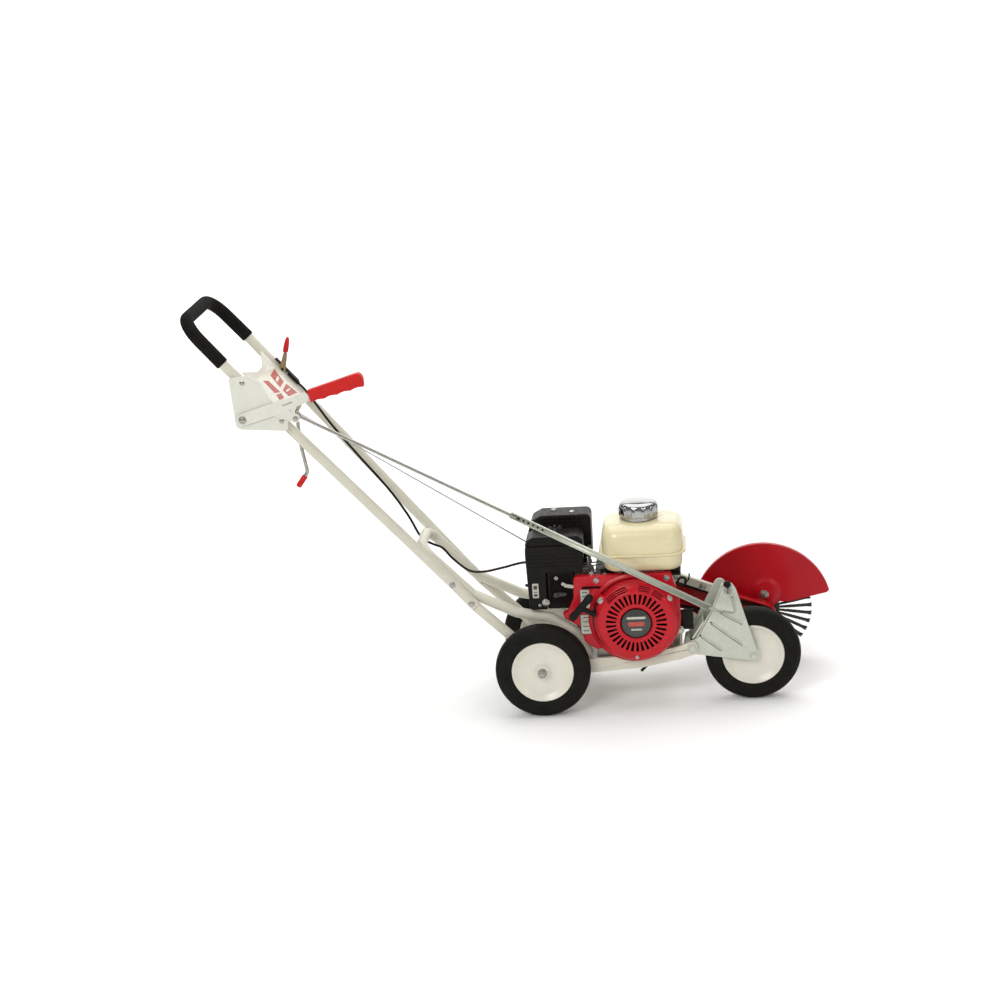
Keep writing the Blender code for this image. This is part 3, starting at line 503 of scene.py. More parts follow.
def bolt(x, y, z, radius, side=-1, depth=5.0):
    """A hexagon bolt head on a washer, standing out from y along Y."""
    head = prism(circle(x, z, radius, 6), y, y + side * depth)
    dome = [(radius * 0.82, 0), (radius * 0.8, 0.5), (radius * 0.55, 0.9), (0, 1.0)]
    washer = [(0, 0), (radius * 1.35, 0), (radius * 1.3, 1.4), (radius, 1.8), (0, 1.8)]
    aim = (0, side, 0)
    return merge(head, lathe(dome, (x, y + side * depth, z), aim, 32), lathe(washer, (x, y, z), aim, 32))


def near_bolt(name, x, y, z, radius, depth, bevel):
    piece(name, bolt(x, y, z, radius, -1, depth), "bright_steel", bevel=bevel)


# ---- Frame -------------------------------------------------------------------------------------

HANDLE_AIM = Vector((HANDLE_GRIP[0] - HANDLE_FOOT[0], 0, HANDLE_GRIP[1] - HANDLE_FOOT[1])).normalized()
HANDLE_UP = Vector((HANDLE_AIM.z, 0, -HANDLE_AIM.x))
HANDLE_LENGTH = (Vector(HANDLE_GRIP) - Vector(HANDLE_FOOT)).length


def handle_half(s):
    share = min(max(s, 0), GRIP_START) / HANDLE_LENGTH
    return FOOT_HALF + (GRIP_HALF - FOOT_HALF) * share


def on_handle(s, y, up=0.0):
    return Vector((HANDLE_FOOT[0], y, HANDLE_FOOT[1])) + HANDLE_AIM * s + HANDLE_UP * up


def handle_route(stations):
    legs = [[on_handle(s, MID_Y + side * handle_half(s)) for s in stations] for side in (-1, 1)]
    corners = [on_handle(GRIP_TOP, MID_Y + side * (handle_half(GRIP_TOP) - 4)) for side in (-1, 1)]
    return bent(legs[0] + corners + legs[1][::-1], HANDLE_BEND, 16)


def build_frame():
    piece("handle_tube_smooth", tube(handle_route((HANDLE_END, 0, GRIP_START)), TUBE_RADIUS, 32),
        "cream_paint", "handle_tube", bevel=0.6)
    grip = handle_route((GRIP_START, GRIP_START + 6))
    grip = [grip[0]] + [grip[0].lerp(grip[1], 0.3)] + grip[1:-1] + [grip[-1].lerp(grip[-2], 0.3), grip[-1]]
    sleeve = tube(grip, GRIP_RADIUS, 40, TUBE_RADIUS + 0.4,
        swell=lambda t: 1.0 - 0.10 * (t < 0.001 or t > 0.999))
    piece("hand_grip_foam", sleeve, "foam", "hand_grip", angle=50)

    near, far = MID_Y - FRAME_HALF, MID_Y + FRAME_HALF
    branch = [(-249, 367), (-146, 258), (-52, 212), (20, 198), (72, 164), (97, 112)]
    route = [(x, near, z) for x, z in branch[::-1]] + [(x, far, z) for x, z in branch]
    piece("frame_tube_smooth", tube(bent(route, 34, 10), TUBE_RADIUS, 32), "cream_paint", "frame_tube",
        bevel=0.6)

    for side, label in ((-1, "near"), (1, "far")):
        y = MID_Y + side * FOOT_HALF
        leg = tube([on_handle(HANDLE_END - 1, y), (0, y, WHEEL_RADIUS)], TUBE_RADIUS, 32)
        boss = cross_bar(0, WHEEL_RADIUS, y - 12, y + 10, 14, 48)
        piece("axle_leg_%s_smooth" % label, merge(leg, boss), "cream_paint", "axle_leg_" + label, bevel=0.6)
        for k, s in enumerate((-2, -60)):
            at = on_handle(s, y + side * TUBE_RADIUS * 0.93)
            head = bolt(at.x, at.y, at.z, 5.2, side, 3.4)
            piece("handle_bolt_%s_%d" % (label, k), head, "bright_steel", bevel=0.3)

    for side, label, y in ((-1, "near", NEAR_Y - WHEEL_WIDTH / 2 - 1),
            (1, "far", FAR_Y + WHEEL_WIDTH / 2 + 1)):
        cap = [(0, 0), (10.4, 0), (10.6, 1.2), (10.0, 2.4), (8.6, 2.8), (8.2, 2.2), (7.2, 2.2), (6.8, 3.2),
            (6.6, 6.2), (5.4, 8.0), (2.8, 9.0), (0, 9.3)]
        piece("hub_cap_" + label, lathe(cap, (0, y, WHEEL_RADIUS), (0, side, 0), 48), "bright_steel")
    axle = cross_bar(0, WHEEL_RADIUS, NEAR_Y - 22, FAR_Y + 22, 6.3)
    piece("rear_axle_bar", axle, "bright_steel", "rear_axle")


def build_wheel(label, body, x, y):
    centre = (x, y, WHEEL_RADIUS)
    half = WHEEL_WIDTH / 2
    side = [(66.4, 15.5), (66.2, 17.6), (67.2, 19.6), (69.5, 20.9), (72.5, 21.6), (75.0, 21.9), (76.0, 21.5),
        (77.0, 21.9), (80.5, 22.1), (84.5, half - 0.1), (88.0, 21.7), (91.5, 20.5), (94.6, 18.6),
        (95.6, 17.4), (96.8, 16.7), (98.6, 14.4), (99.9, 11.4), (100.8, 8.0), (101.4, 4.2),
        (WHEEL_RADIUS, 0)]
    piece("tyre_%s_moulded" % label, lathe(mirrored(side), centre, count=128), "tyre", "tyre_" + label,
        body=body, angle=60)
    dish = [(6.8, 20.0), (9.2, half - 0.6), (11.8, half - 0.4), (13.2, 21.0), (14.2, 18.6), (15.0, 14.0),
        (17.0, 10.4), (21.0, 8.6), (28.0, 7.8), (38.0, 7.8), (46.0, 8.6), (52.5, 10.6), (57.5, 13.6),
        (61.0, 16.2), (63.2, 17.8), (64.8, 18.2), (65.9, 17.4), (66.0, 15.0)]
    piece("rim_%s_pressed" % label, lathe(mirrored(dish), centre, count=128), "white_rim", "rim_" + label,
        body=body, angle=50)


def build_chassis():
    rail = rounded([(86, 79, 4), (212, 88, 60), (290, 103, 60), (333, 116, 15), (328, 146, 15),
        (285, 131, 60), (212, 117, 60), (86, 110, 4)])
    piece("rail_near_plate", prism(rail, -87, -79), "cream_paint", "rail_near", bevel=1.6, segments=3)
    post = prism([(270, 124), (286, 124), (286, 216), (270, 222)], 101, 107.5)
    piece("rail_far_plate", merge(prism(rail, 100, 108), post), "cream_paint", "rail_far", bevel=1.6,
        segments=3)
    plate = prism(rectangle(84, 296, 100, 106), -78.5, 99.5)
    lug = rounded([(288, 100.5, 0), (316, 100.5, 8), (334, 116, 12), (330, 144, 12), (304, 138, 6),
        (297, 105.5, 0), (288, 105.5, 0)])
    piece("engine_bed", merge(plate, prism(lug, -16, -10)), "cream_paint", "engine_plate", bevel=0.8)
    for k, (x, y) in enumerate(((128, -55), (270, -55), (128, 80), (270, 80))):
        head = rod((x, y, 95.4), (x, y, 99.9), 6.5, 6)
        piece("engine_bolt_%d" % k, head, "bright_steel", bevel=0.4)
    piece("rail_pin", rod((206, -60, 70), (239, -60, 100), 3, 20), "black_rubber", bevel=0.6)
    for side, y in ((-1, -87.2), (1, 108.2)):
        piece("pivot_nut_%s" % ("near" if side < 0 else "far"), bolt(PIVOT_X, y, PIVOT_Z, 8, side, 4.5),
            "pale_zinc", bevel=0.4)
    shaft = cross_bar(PIVOT_X, PIVOT_Z, -87, 108, 5)
    piece("pivot_bar", shaft, "bright_steel", "fork_pivot_bolt")


def build_fork():
    pivot, axle = (PIVOT_X, PIVOT_Z, 14), (FRONT_X, WHEEL_RADIUS, 12)
    outline = rounded([(306, 122, 8), (312, 112, 8), (446, 90.5, 11), (457.5, 102, 10), (414, 254, 9),
        (406, 268, 9), (390, 267, 9), (362, 203, 30), (330, 147, 10), (308, 138, 6)], 8)
    near = prism(outline, -78.6, -75.4)
    far = prism(hull([pivot, axle, (381, 248, 12)]), -24, -20)
    web = prism([(317, 146), (320.5, 143.5), (345, 180), (341.5, 183)], -76, -23)
    edge = [(330, 148), (362, 204), (388, 263)]
    flange = [prism([(x0 - 3, z0 + 1.5), (x0, z0), (x1, z1), (x1 - 3, z1 + 1.5)], -77, -66)
        for (x0, z0), (x1, z1) in zip(edge, edge[1:])]
    piece("fork_plates", merge(near, far, web, *flange), "pale_zinc", "front_fork", body="fork", bevel=0.8)
    ribs, rib_shadows = [], []
    for (x0, z0), (x1, z1) in (((361, 179.5), (424, 128)), ((337, 151.5), (380, 118)),
            ((383, 201), (426, 175))):
        a, b = Vector((x0, -79.4, z0)), Vector((x1, -79.4, z1))
        route = curve_through([a, a.lerp(b, 0.1), a.lerp(b, 0.5), a.lerp(b, 0.9), b], 4)
        ribs.append(tube(route, 2.0, 12, swell=lambda t: 0.25 + 0.75 * min(1, 8 * t, 8 * (1 - t))))
        # The dark line just under each raised rib and the dark dot at each rib's start are painted shade
        # from the rib, not grooves in the plate.
        low = [p + Vector((-1.6, 0.7, -2.0)) for p in route]
        rib_shadows.append(tube(low, 0.9, 8))
        rib_shadows.append(disc(2.0, 0.5, (x0 - 2, -78.5, z0 + 1)))
    piece("fork_ribs", merge(*ribs), "pale_zinc", body="fork", angle=80)
    # Painted shade: dark steel strips and dots laid under and beside the fork ribs.
    piece("fork_grooves", merge(*rib_shadows), "dark_steel", body="fork")
    piece("fork_pin", merge(cross_bar(397, 250, -109, -77, 4), bolt(397, -78.6, 250, 7, -1, 4)),
        "bright_steel", body="fork", bevel=0.4)
    piece("fork_plug", lathe([(0, 0), (7.5, 0), (8, 2), (7, 5), (4, 6.5), (0, 7)], (396, -78.6, 265),
        (0, -1, 0), 32), "black_rubber", body="fork")
    piece("front_axle_bolt", merge(cross_bar(FRONT_X, WHEEL_RADIUS, -78, -14, 6.3),
        bolt(FRONT_X, -78.8, WHEEL_RADIUS, 7.2, -1, 4.6), bolt(FRONT_X, -19.8, WHEEL_RADIUS, 7.2, 1, 4.6)),
        "pale_zinc", "front_axle", body="fork", bevel=0.4)


# ---- Engine ------------------------------------------------------------------------------------

COVER_Y = -90.4
COVER_DEPTH = 34.0
FAN_BLADES = 34
COVER_FACE = [(33, 32.5), (36, 34), (41, 34), (42.5, 33.9), (46, 33.6), (50, 33.2), (54, 32.8), (58, 32.4),
    (61, 32), (64, 31.6), (67, 31.2), (71, 30.8), (73.2, 30.4), (75.4, 29.9), (77.6, 29.2), (79.8, 28.2),
    (82, 26.8), (84.4, 24.4), (86.4, 21.2), (88, 17), (89.2, 12), (90, 6), (90, 0)]


def cover_slot(radius, degrees):
    """Whether a spot on the starter cover falls in one of its openings."""
    if 42.5 < radius < 64:
        pitch = 360 / FAN_BLADES
        return abs((degrees % pitch) - pitch / 2) < pitch * (0.27 if radius > 47 else 0.25)
    in_group = any(low < degrees < high for low, high in ((42, 61), (65, 84), (102, 121), (122, 141)))
    return in_group and any(low < radius < high for low, high in ((71, 73.2), (75.4, 77.6), (79.8, 82)))


def build_cover():
    columns = FAN_BLADES * 12
    bm = bmesh.new()
    rings = []
    for radius, height in COVER_FACE:
        rings.append([bm.verts.new((CRANK_X + x, COVER_Y - height, CRANK_Z + z))
            for x, z in circle(0, 0, radius, columns)])
    for (low, (r0, _)), (high, (r1, _)) in zip(zip(rings, COVER_FACE), zip(rings[1:], COVER_FACE[1:])):
        for i in range(columns):
            if not cover_slot((r0 + r1) / 2, (i + 0.5) * 360 / columns):
                bm.faces.new((low[i], high[i], high[(i + 1) % columns], low[(i + 1) % columns]))
    loose = [v for v in bm.verts if not v.link_faces]
    bmesh.ops.delete(bm, geom=loose, context="VERTS")
    face_near(bm)
    piece("starter_cover", bm, "engine_red", "recoil_cover", thickness=2.2, angle=50)
    back = lathe([(0, 20), (60, 20), (82, 16), (86, 0), (0, 0)], (CRANK_X, COVER_Y, CRANK_Z), (0, -1, 0), 64)
    piece("starter_cover_inside", back, "shadow")
    hub = Vector((CRANK_X, COVER_Y - 22, CRANK_Z))
    for k in range(1, FAN_BLADES, 2):
        angle = 2 * pi * k / FAN_BLADES
        aim = Vector((cos(angle), 0, sin(angle)))
        fin = bar_between(hub + aim * 36, hub + aim * 64, 4, 1.6)
        piece("fan_fin_%02d" % k, fin, "shadow")
    face = COVER_Y - COVER_DEPTH + 1.6
    badge = lathe([(0, 1.4), (29.5, 1.4), (30.5, 0.8), (31, 0), (0, 0)], (CRANK_X, face, CRANK_Z),
        (0, -1, 0), 96)
    piece("cover_badge", badge, "dark_badge")
    ring = lathe([(29.2, 0.9), (29.4, 1.9), (30.6, 1.9), (31, 0.6)], (CRANK_X, face, CRANK_Z), (0, -1, 0),
        96)
    piece("badge_ring", ring, "dark_badge")
    bands = (("badge_band_upper", "silver_label", (-20, 20), (9.5, 14.5)),
        ("badge_band_middle", "red_print", (-17, 17), (-6, 3)),
        ("badge_band_lower", "silver_label", (-12, 12), (-15.5, -12)))
    for name, finish, (x0, x1), (z0, z1) in bands:
        outline = rectangle(CRANK_X + x0, CRANK_X + x1, CRANK_Z + z0, CRANK_Z + z1, 2)
        piece(name, prism(outline, face - 1.2, face - 1.8), finish)
    for k, (x, z, y, radius) in enumerate(((131.8, 249, -110, 6), (272.5, 248, -110, 6),
            (201, 124.5, -117, 4.5))):
        near_bolt("cover_bolt_%d" % k, x, y, z, radius, 4.5, 0.5)
        pad = lathe([(0, 0), (11, 0), (10.4, 9), (9, 11), (0, 11)], (x, y + 10.8, z), (0, -1, 0), 40)
        piece("cover_pad_%d" % k, pad, "engine_red")
    for k, (x, z) in enumerate(((131, 166), (273, 165), (199, 283))):
        hole = disc(3.2, 1.2, (x, COVER_Y - 21.5, z), count=24)
        piece("cover_rivet_%d" % k, hole, "shadow")


def build_housing():
    housing = [(74, 297, 8), (72, 250, 6), (59, 222, 6), (47, 215, 3), (52, 204, 4), (82, 186, 10),
        (92, 150, 14), (114, 134, 10), (272, 136, 24), (292, 170, 20), (296, 232, 20), (288, 266, 12),
        (280, 298, 6)]
    piece("blower_shell", prism(rounded(housing, 8), -90, -71), "engine_red", "blower_housing", bevel=5,
        segments=5, angle=60)
    rim = lathe([(90, 0), (97, 0), (98, 2), (97.4, 5), (94, 7), (90, 8)], (199, -88, 203), (0, -1, 0), 128)
    piece("blower_rim", rim, "engine_red")
    for name, x0, x1, z0, z1 in (("label_upper", 87, 106, 228, 268), ("label_lower", 85, 106, 170, 212)):
        outline = rectangle(x0, x1, z0, z1, 1.5)
        piece(name, prism(outline, -89.8, -90.7), "silver_label")
        for k in range(4):
            z = z0 + 6 + k * (z1 - z0 - 12) / 3
            line = prism(rectangle(x0 + 4, x1 - 4, z, z + 1.6), -90.6, -90.9)
            piece("%s_line_%d" % (name, k), line, "shadow")
        frame_outline = rectangle(x0 - 1.4, x1 + 1.4, z0 - 1.4, z1 + 1.4, 2)
        piece(name + "_edge", prism(frame_outline, -89.7, -90.3), "dark_badge")
    slit = rounded([(91, 270.5, 1.4), (134, 270, 1.4), (134, 275, 1.4), (91, 275.5, 1.4)], 4)
    piece("housing_slit", prism(slit, -89.8, -90.5), "shadow")
    lip = tube([(91, -90.3, 276.4), (112, -90.6, 276.8), (134, -90.3, 276)], 1.0, 12)
    piece("housing_slit_lip", lip, "engine_red")
    near_bolt("housing_bolt", 270, -90, 288, 5, 4, 0.5)
    near_bolt("housing_bolt_left", 122, -90, 288, 4.5, 3.5, 0.4)


def build_block():
    case = [(114, 106.5, 2), (290, 106.5, 2), (290, 118, 3), (278, 128, 8), (286, 200, 40), (262, 270, 20),
        (232, 284, 12), (140, 284, 10), (118, 262, 8), (118, 130, 6), (114, 118, 3)]
    piece("crankcase_casting", prism(rounded(case, 6), -70.4, 98), "cast_aluminium", "crankcase", bevel=2.5,
        segments=3)
    rib = rounded([(276, 118, 2), (291, 118, 2), (291, 150, 3), (287, 205, 8), (268, 262, 6), (262, 262, 2)],
        4)
    ribs = [prism(rib, y - 1.5, y + 1.5) for y in range(-52, 81, 22)]
    piece("crankcase_ribs", merge(*ribs), "cast_aluminium", bevel=0.6)
    fins = [box((x - 5, x), (-7.5, 59.5), (205, 262)) for x in range(108, 9, -11)]
    fins.append(box((16, 117), (-3, 57), (213, 258)))
    piece("cylinder_fins", merge(*fins), "cast_aluminium", "cylinder_head", bevel=0.8)
    plug = [(0, 0), (8, 0), (8, 8), (7, 9), (8, 10), (8, 14), (11, 16), (11, 32), (9.5, 36), (6, 38),
        (0, 38)]
    piece("plug_cap", lathe(plug, (9.5, 28, 240), (-1, 0, 0), 40), "black_rubber", "spark_plug_cap")
    lead = curve_through([(-27, 28, 240), (-34, 20, 246), (-32, 2, 252), (-10, -6, 250), (30, -10, 246),
        (70, -13, 244)], 5)
    piece("plug_lead", tube(lead, 3.2, 16), "black_rubber")
    filler = lathe([(0, 0), (11, 0), (11, 3), (8, 4), (8, 10), (12, 11), (12, 17), (9, 19), (0, 19)],
        (284, -48, 172), (1, 0, 0.5), 40)
    piece("oil_filler", filler, "black_plastic")
    near_bolt("drain_plug", 293, -62, 161, 7, 7, 0.5)
    bracket = merge(box((292, 322), (-58, -55), (160, 205)), box((288, 296), (-58, -30), (188, 205)))
    piece("case_bracket", bracket, "black_paint", bevel=1)
    shelf = merge(box((118, 300), (-66, 60), (284.8, 290)), box((130, 160), (-60, 50), (290, 304)),
        box((270, 298), (-60, 50), (290, 304)))
    piece("tank_bracket", shelf, "black_paint", bevel=1)


def build_tank():
    sections = [(300.6, 152, 290, -72, 36, 22), (301.4, 146, 296, -78, 42, 26), (304, 142, 300, -83, 46, 29),
        (309, 139.5, 303, -87, 50, 31), (320, 138, 304.5, -89.5, 52.5, 32), (337, 137, 306, -91, 54, 33)]
    lower = loft(sections, 10)
    sections = [(341, 136.5, 306.5, -91.5, 54.5, 34), (354, 136, 308, -92, 55, 34),
        (370, 136, 308, -92, 55, 34), (380, 137, 307, -90.5, 53.5, 33), (388, 139.5, 304.5, -87, 50, 32),
        (394, 143, 301, -82, 46, 31), (398, 148, 296, -75, 40, 29), (400.8, 155, 289, -66, 33, 26),
        (402, 164, 280, -56, 24, 22), (402.6, 178, 268, -44, 12, 17)]
    upper = loft(sections, 10)
    piece("tank_shells", merge(lower, upper), "tank_cream", "fuel_tank", angle=60)
    seam = [(336.6, 131, 311, -94, 60, 38), (336.9, 129.5, 312.5, -95.2, 61.5, 39),
        (338.8, 129, 313.2, -95.8, 62, 39), (340.8, 129.5, 312.5, -95.2, 61.5, 39),
        (341.4, 131, 311, -94, 60, 38)]
    piece("tank_seam", loft(seam, 10), "tank_cream", angle=60)
    neck = lathe([(26, -1), (34, -1), (34, 2.5), (26, 3)], (216, -18, 402), (0, 0, 1), 64)
    piece("tank_neck", neck, "tank_cream")
    cap = [(0, 39.8), (10, 39.4), (20, 38.4), (30, 36.8), (35, 35.4), (38, 33.6), (39.8, 31.4), (41, 28),
        (41, 8), (40.2, 6.4), (40.6, 4.6), (40.6, 1.8), (39.4, 0.6), (0, 0.6)]
    piece("cap_chromed", lathe(cap, (216, -18, 402.5), (0, 0, 1), 96), "chrome", "fuel_cap", body="fuel_cap",
        angle=40)
    flutes = []
    for k in range(12):
        angle = radians(15 + 30 * k)
        at = Vector((216 + 36.6 * cos(angle), -18 + 36.6 * sin(angle), 402.5))
        flutes.append(lathe([(0, 7), (5.4, 7), (6.2, 10), (6.2, 26), (4.6, 30), (0, 31.6)], at, (0, 0, 1),
            32))
    piece("cap_lugs", merge(*flutes), "chrome", body="fuel_cap")


def build_intake():
    body = [(-23, 222, 6), (15, 222, 2), (15, 303, 2), (92, 303, 6), (97, 330, 10), (97, 362, 3),
        (-25.5, 362, 3), (-26.5, 345, 10)]
    lid = [(-26, 364, 2), (97.3, 364, 2), (96, 376, 6), (88, 383, 9), (-10, 383, 12), (-23, 374, 8)]
    piece("filter_box", prism(rounded(body, 6), -75, -8.5), "black_plastic", "air_cleaner", bevel=4,
        segments=4, angle=50)
    piece("filter_lid", prism(rounded(lid, 6), -75, -8.5), "black_plastic", bevel=3.5, segments=4, angle=50)
    gap = rectangle(-24, 95.5, 361, 365, 2, 3)
    piece("filter_gap", prism(gap, -73.4, -10), "shadow")
    ridges = [tube([(-20, -75.0, z), (30, -75.3, z), (86, -75.0, z)], 1.1, 12) for z in (318, 326, 334, 342)]
    piece("filter_ridges", merge(*ridges), "black_plastic")
    piece("control_cover", box((15.5, 74), (-66, -40.5), (220, 302.5)), "black_plastic", "control_box",
        bevel=3, segments=3)
    recess = rectangle(22, 68, 232, 296, 5, 5)
    piece("control_recess", prism(recess, -65.8, -66.9), "shadow")
    for k, (x, z, r, y) in enumerate(((11.9, 238.2, 6.2, -75), (36.3, 288.9, 3.4, -66.6),
            (-1, 232, 2.6, -75))):
        near_bolt("box_bolt_%d" % k, x, y, z, r, 3.4, 0.5)
    outline = rectangle(-15, -2, 249, 281, 1.5)
    piece("box_label", prism(outline, -74.9, -75.6), "silver_label")
    for k, (z0, z1) in enumerate(((252, 258), (261, 263), (268, 277))):
        line = prism(rectangle(-12.5, -4.5, z0, z1), -75.5, -75.8)
        piece("box_label_line_%d" % k, line, "dark_badge")

    knob = merge(prism(hull([(50, 276, 4.4), (58, 273, 3)], 32), -70.4, -67.6),
        prism(hull([(56, 272.5, 4.4), (70, 270, 4.4)], 32), -72, -67))
    piece("choke_arm", knob, "bright_steel", "choke_lever", body="choke_lever", bevel=1.2, segments=3)
    tap = merge(prism(hull([(34, 252, 6), (54, 253, 3.6)], 32), -70.6, -67.4),
        lathe([(0, 0), (6.4, 0), (6.4, 2), (5, 3.4), (0, 3.6)], (34, -70.4, 252), (0, -1, 0), 32))
    piece("fuel_tap_arm", tap, "dark_steel", "fuel_lever", body="fuel_lever", bevel=0.8, segments=2)

    stud = merge(rod((38, -42, 383.5), (38, -42, 399), 2.6, 24),
        lathe([(0, 0), (7, 0), (6.6, 4), (4.4, 8), (0, 8)], (38, -42, 384), (0, 0, 1), 32))
    wings = [prism(rounded([(38, 386, 1), (50, 388, 3), (55, 396, 3.5), (48, 397, 2), (38, 391, 1)], 4),
        -43.2, -40.8), prism(rounded([(38, 386, 1), (38, 391, 1), (28, 397, 2), (21, 396, 3.5),
        (26, 388, 3)], 4), -43.2, -40.8)]
    piece("wing_nut_cast", merge(stud, *wings), "dark_steel", "wing_nut", body="wing_nut", bevel=0.7)
    dent = lathe([(0, 0), (9, 0), (9, 0.5), (0, 0.5)], (60, -42, 382.9), (0, 0, 1), 32)
    piece("lid_dimple", dent, "shadow")

    carb = merge(box((62, 104), (-38, -12), (264, 298)), cross_bar(70, 281, -46, -38, 7, 32),
        cross_bar(94, 290, -44, -38, 4, 24), rod((84, -25, 256), (84, -25, 266), 13, 40))
    piece("carburettor_body", carb, "cast_aluminium", "carburettor", bevel=1.5, segments=3)
    arm = rounded([(106, 300, 2), (112, 300, 2), (113, 334, 3), (118, 356, 3), (111, 362, 3), (104, 356, 3),
        (107, 330, 3)], 4)
    piece("governor_arm", prism(arm, -70.5, -68.7), "dark_steel", bevel=0.4)
    fork_arm = merge(prism(rounded([(101, 292, 2), (105, 291, 2), (108, 308, 3), (113, 308, 3),
        (117, 290, 2), (121, 291, 2), (117, 318, 4), (106, 318, 4)], 4), -72.6, -71),
        cross_bar(111, 326, -74, -68, 4, 24))
    piece("governor_fork", fork_arm, "dark_steel", bevel=0.4)
    links = merge(tube([(72, -68, 316), (100, -69, 313), (136, -69, 317)], 1.2, 10),
        tube([(96, -71, 306), (128, -70, 305), (170, -67, 308)], 1.2, 10),
        tube([(60, -66, 322), (90, -68, 319), (134, -66, 322)], 1.5, 10))
    piece("governor_links", links, "dark_steel")
    spring = [Vector((118 + 26 * t, -72 + 2.4 * cos(50 * t), 300 + 2.4 * sin(50 * t)))
        for t in [k / 96 for k in range(97)]]
    piece("governor_spring", tube(spring, 0.6, 8), "dark_steel")
    for k, (x, z) in enumerate(((113, 297), (140, 294))):
        near_bolt("linkage_bolt_%d" % k, x, -74, z, 4, 3, 0.4)


def build_exhaust():
    piece("silencer", box((-4, 100), (8, 58), (262.5, 311.5)), "dark_steel", "muffler", bevel=8, segments=4)
    guard = [(-22, 312, 3), (112, 312, 3), (113, 408, 12), (6, 408, 10), (-14, 397, 10), (-23, 372, 12)]
    piece("silencer_guard", prism(rounded(guard, 8), 0, 62), "black_paint", "muffler_guard", bevel=6,
        segments=4, angle=50)
    for row, z in enumerate((399, 391.5)):
        for k in range(8):
            x = 12 + 10.5 * k
            slot = rectangle(x, x + 7, z - 2.2, z + 2.2, 1.6)
            piece("guard_slot_%d_%d" % (row, k), prism(slot, -0.3, 1.5), "shadow")
    for k, (x, y) in enumerate(((32, 42), (72, 22))):
        screw = lathe([(0, 0), (6, 0), (5.6, 1.8), (3.4, 2.8), (0, 3)], (x, y, 407.9), (0, 0, 1), 32)
        piece("guard_screw_%d" % k, screw, "bright_steel")


def build_starter():
    bar = [(0, 0), (5, 0.4), (7.6, 2.4), (8.5, 6), (8.2, 14), (7.2, 22), (7.8, 30), (8.4, 35), (7.8, 40),
        (7.2, 48), (8.2, 56), (8.5, 64), (7.6, 67.6), (5, 69.6), (0, 70)]
    grip = lathe(bar, (66, -126, 215), (46, 0, 52), 40)
    stem = lathe([(0, 0), (7, 0), (6, 8), (4.8, 18), (5.2, 30), (6, 35), (0, 36)], (88, -126, 240.5),
        (31, 8, -20), 32)
    piece("starter_handle", merge(grip, stem), "black_rubber", "starter_grip", body="starter_grip", angle=60)
    eye = lathe([(5.4, 0), (10.5, 0), (10.5, 3), (8.5, 5.5), (5.4, 5.5)], (122, -105, 221), (0, -1, 0), 40)
    piece("rope_eye", eye, "black_plastic")


def build_wires():
    coil = [Vector((302 + (9.6 - 0.2 * t) * cos(t), -88 - 0.5 * t, 279 + (9.6 - 0.2 * t) * sin(t)))
        for t in [-1.2 + k * 0.22 for k in range(60)]]
    coil += [Vector((309, -93, 284)), Vector((314, -93, 281)), Vector((317, -92, 287)),
        Vector((318, -90, 296))]
    piece("wire_coil", tube(curve_through(coil, 2), 1.7, 14), "black_rubber")
    route = [(-511, 117, 697), (-497, 116, 681), (-478, 108, 655), (-440, 92, 604), (-388, 84, 537),
        (-330, 82, 462), (-290, 74, 402), (-263, 61, 354), (-238, 46, 342), (-213, 30, 336), (-191, 15, 316),
        (-157, 5, 291), (-125, 0, 288), (-81, -1, 296), (-36, -2.5, 306), (20, -4, 305), (62, -5, 298),
        (82, -8, 288)]
    piece("throttle_cable_casing", tube(curve_through(route, 5), 2.6, 20), "black_plastic", "throttle_cable")


# ---- Belt drive and brush ----------------------------------------------------------------------

def belt_band(offset):
    return hull([(CRANK_X, CRANK_Z, DRIVE_RADIUS + offset), (BRUSH_X, BRUSH_Z, DRIVEN_RADIUS + offset)])


def grooved(radius, bore):
    return mirrored([(bore, 10), (radius + 3.4, 10), (radius + 4, 9.4), (radius + 4, 8), (radius - 8, 3)])


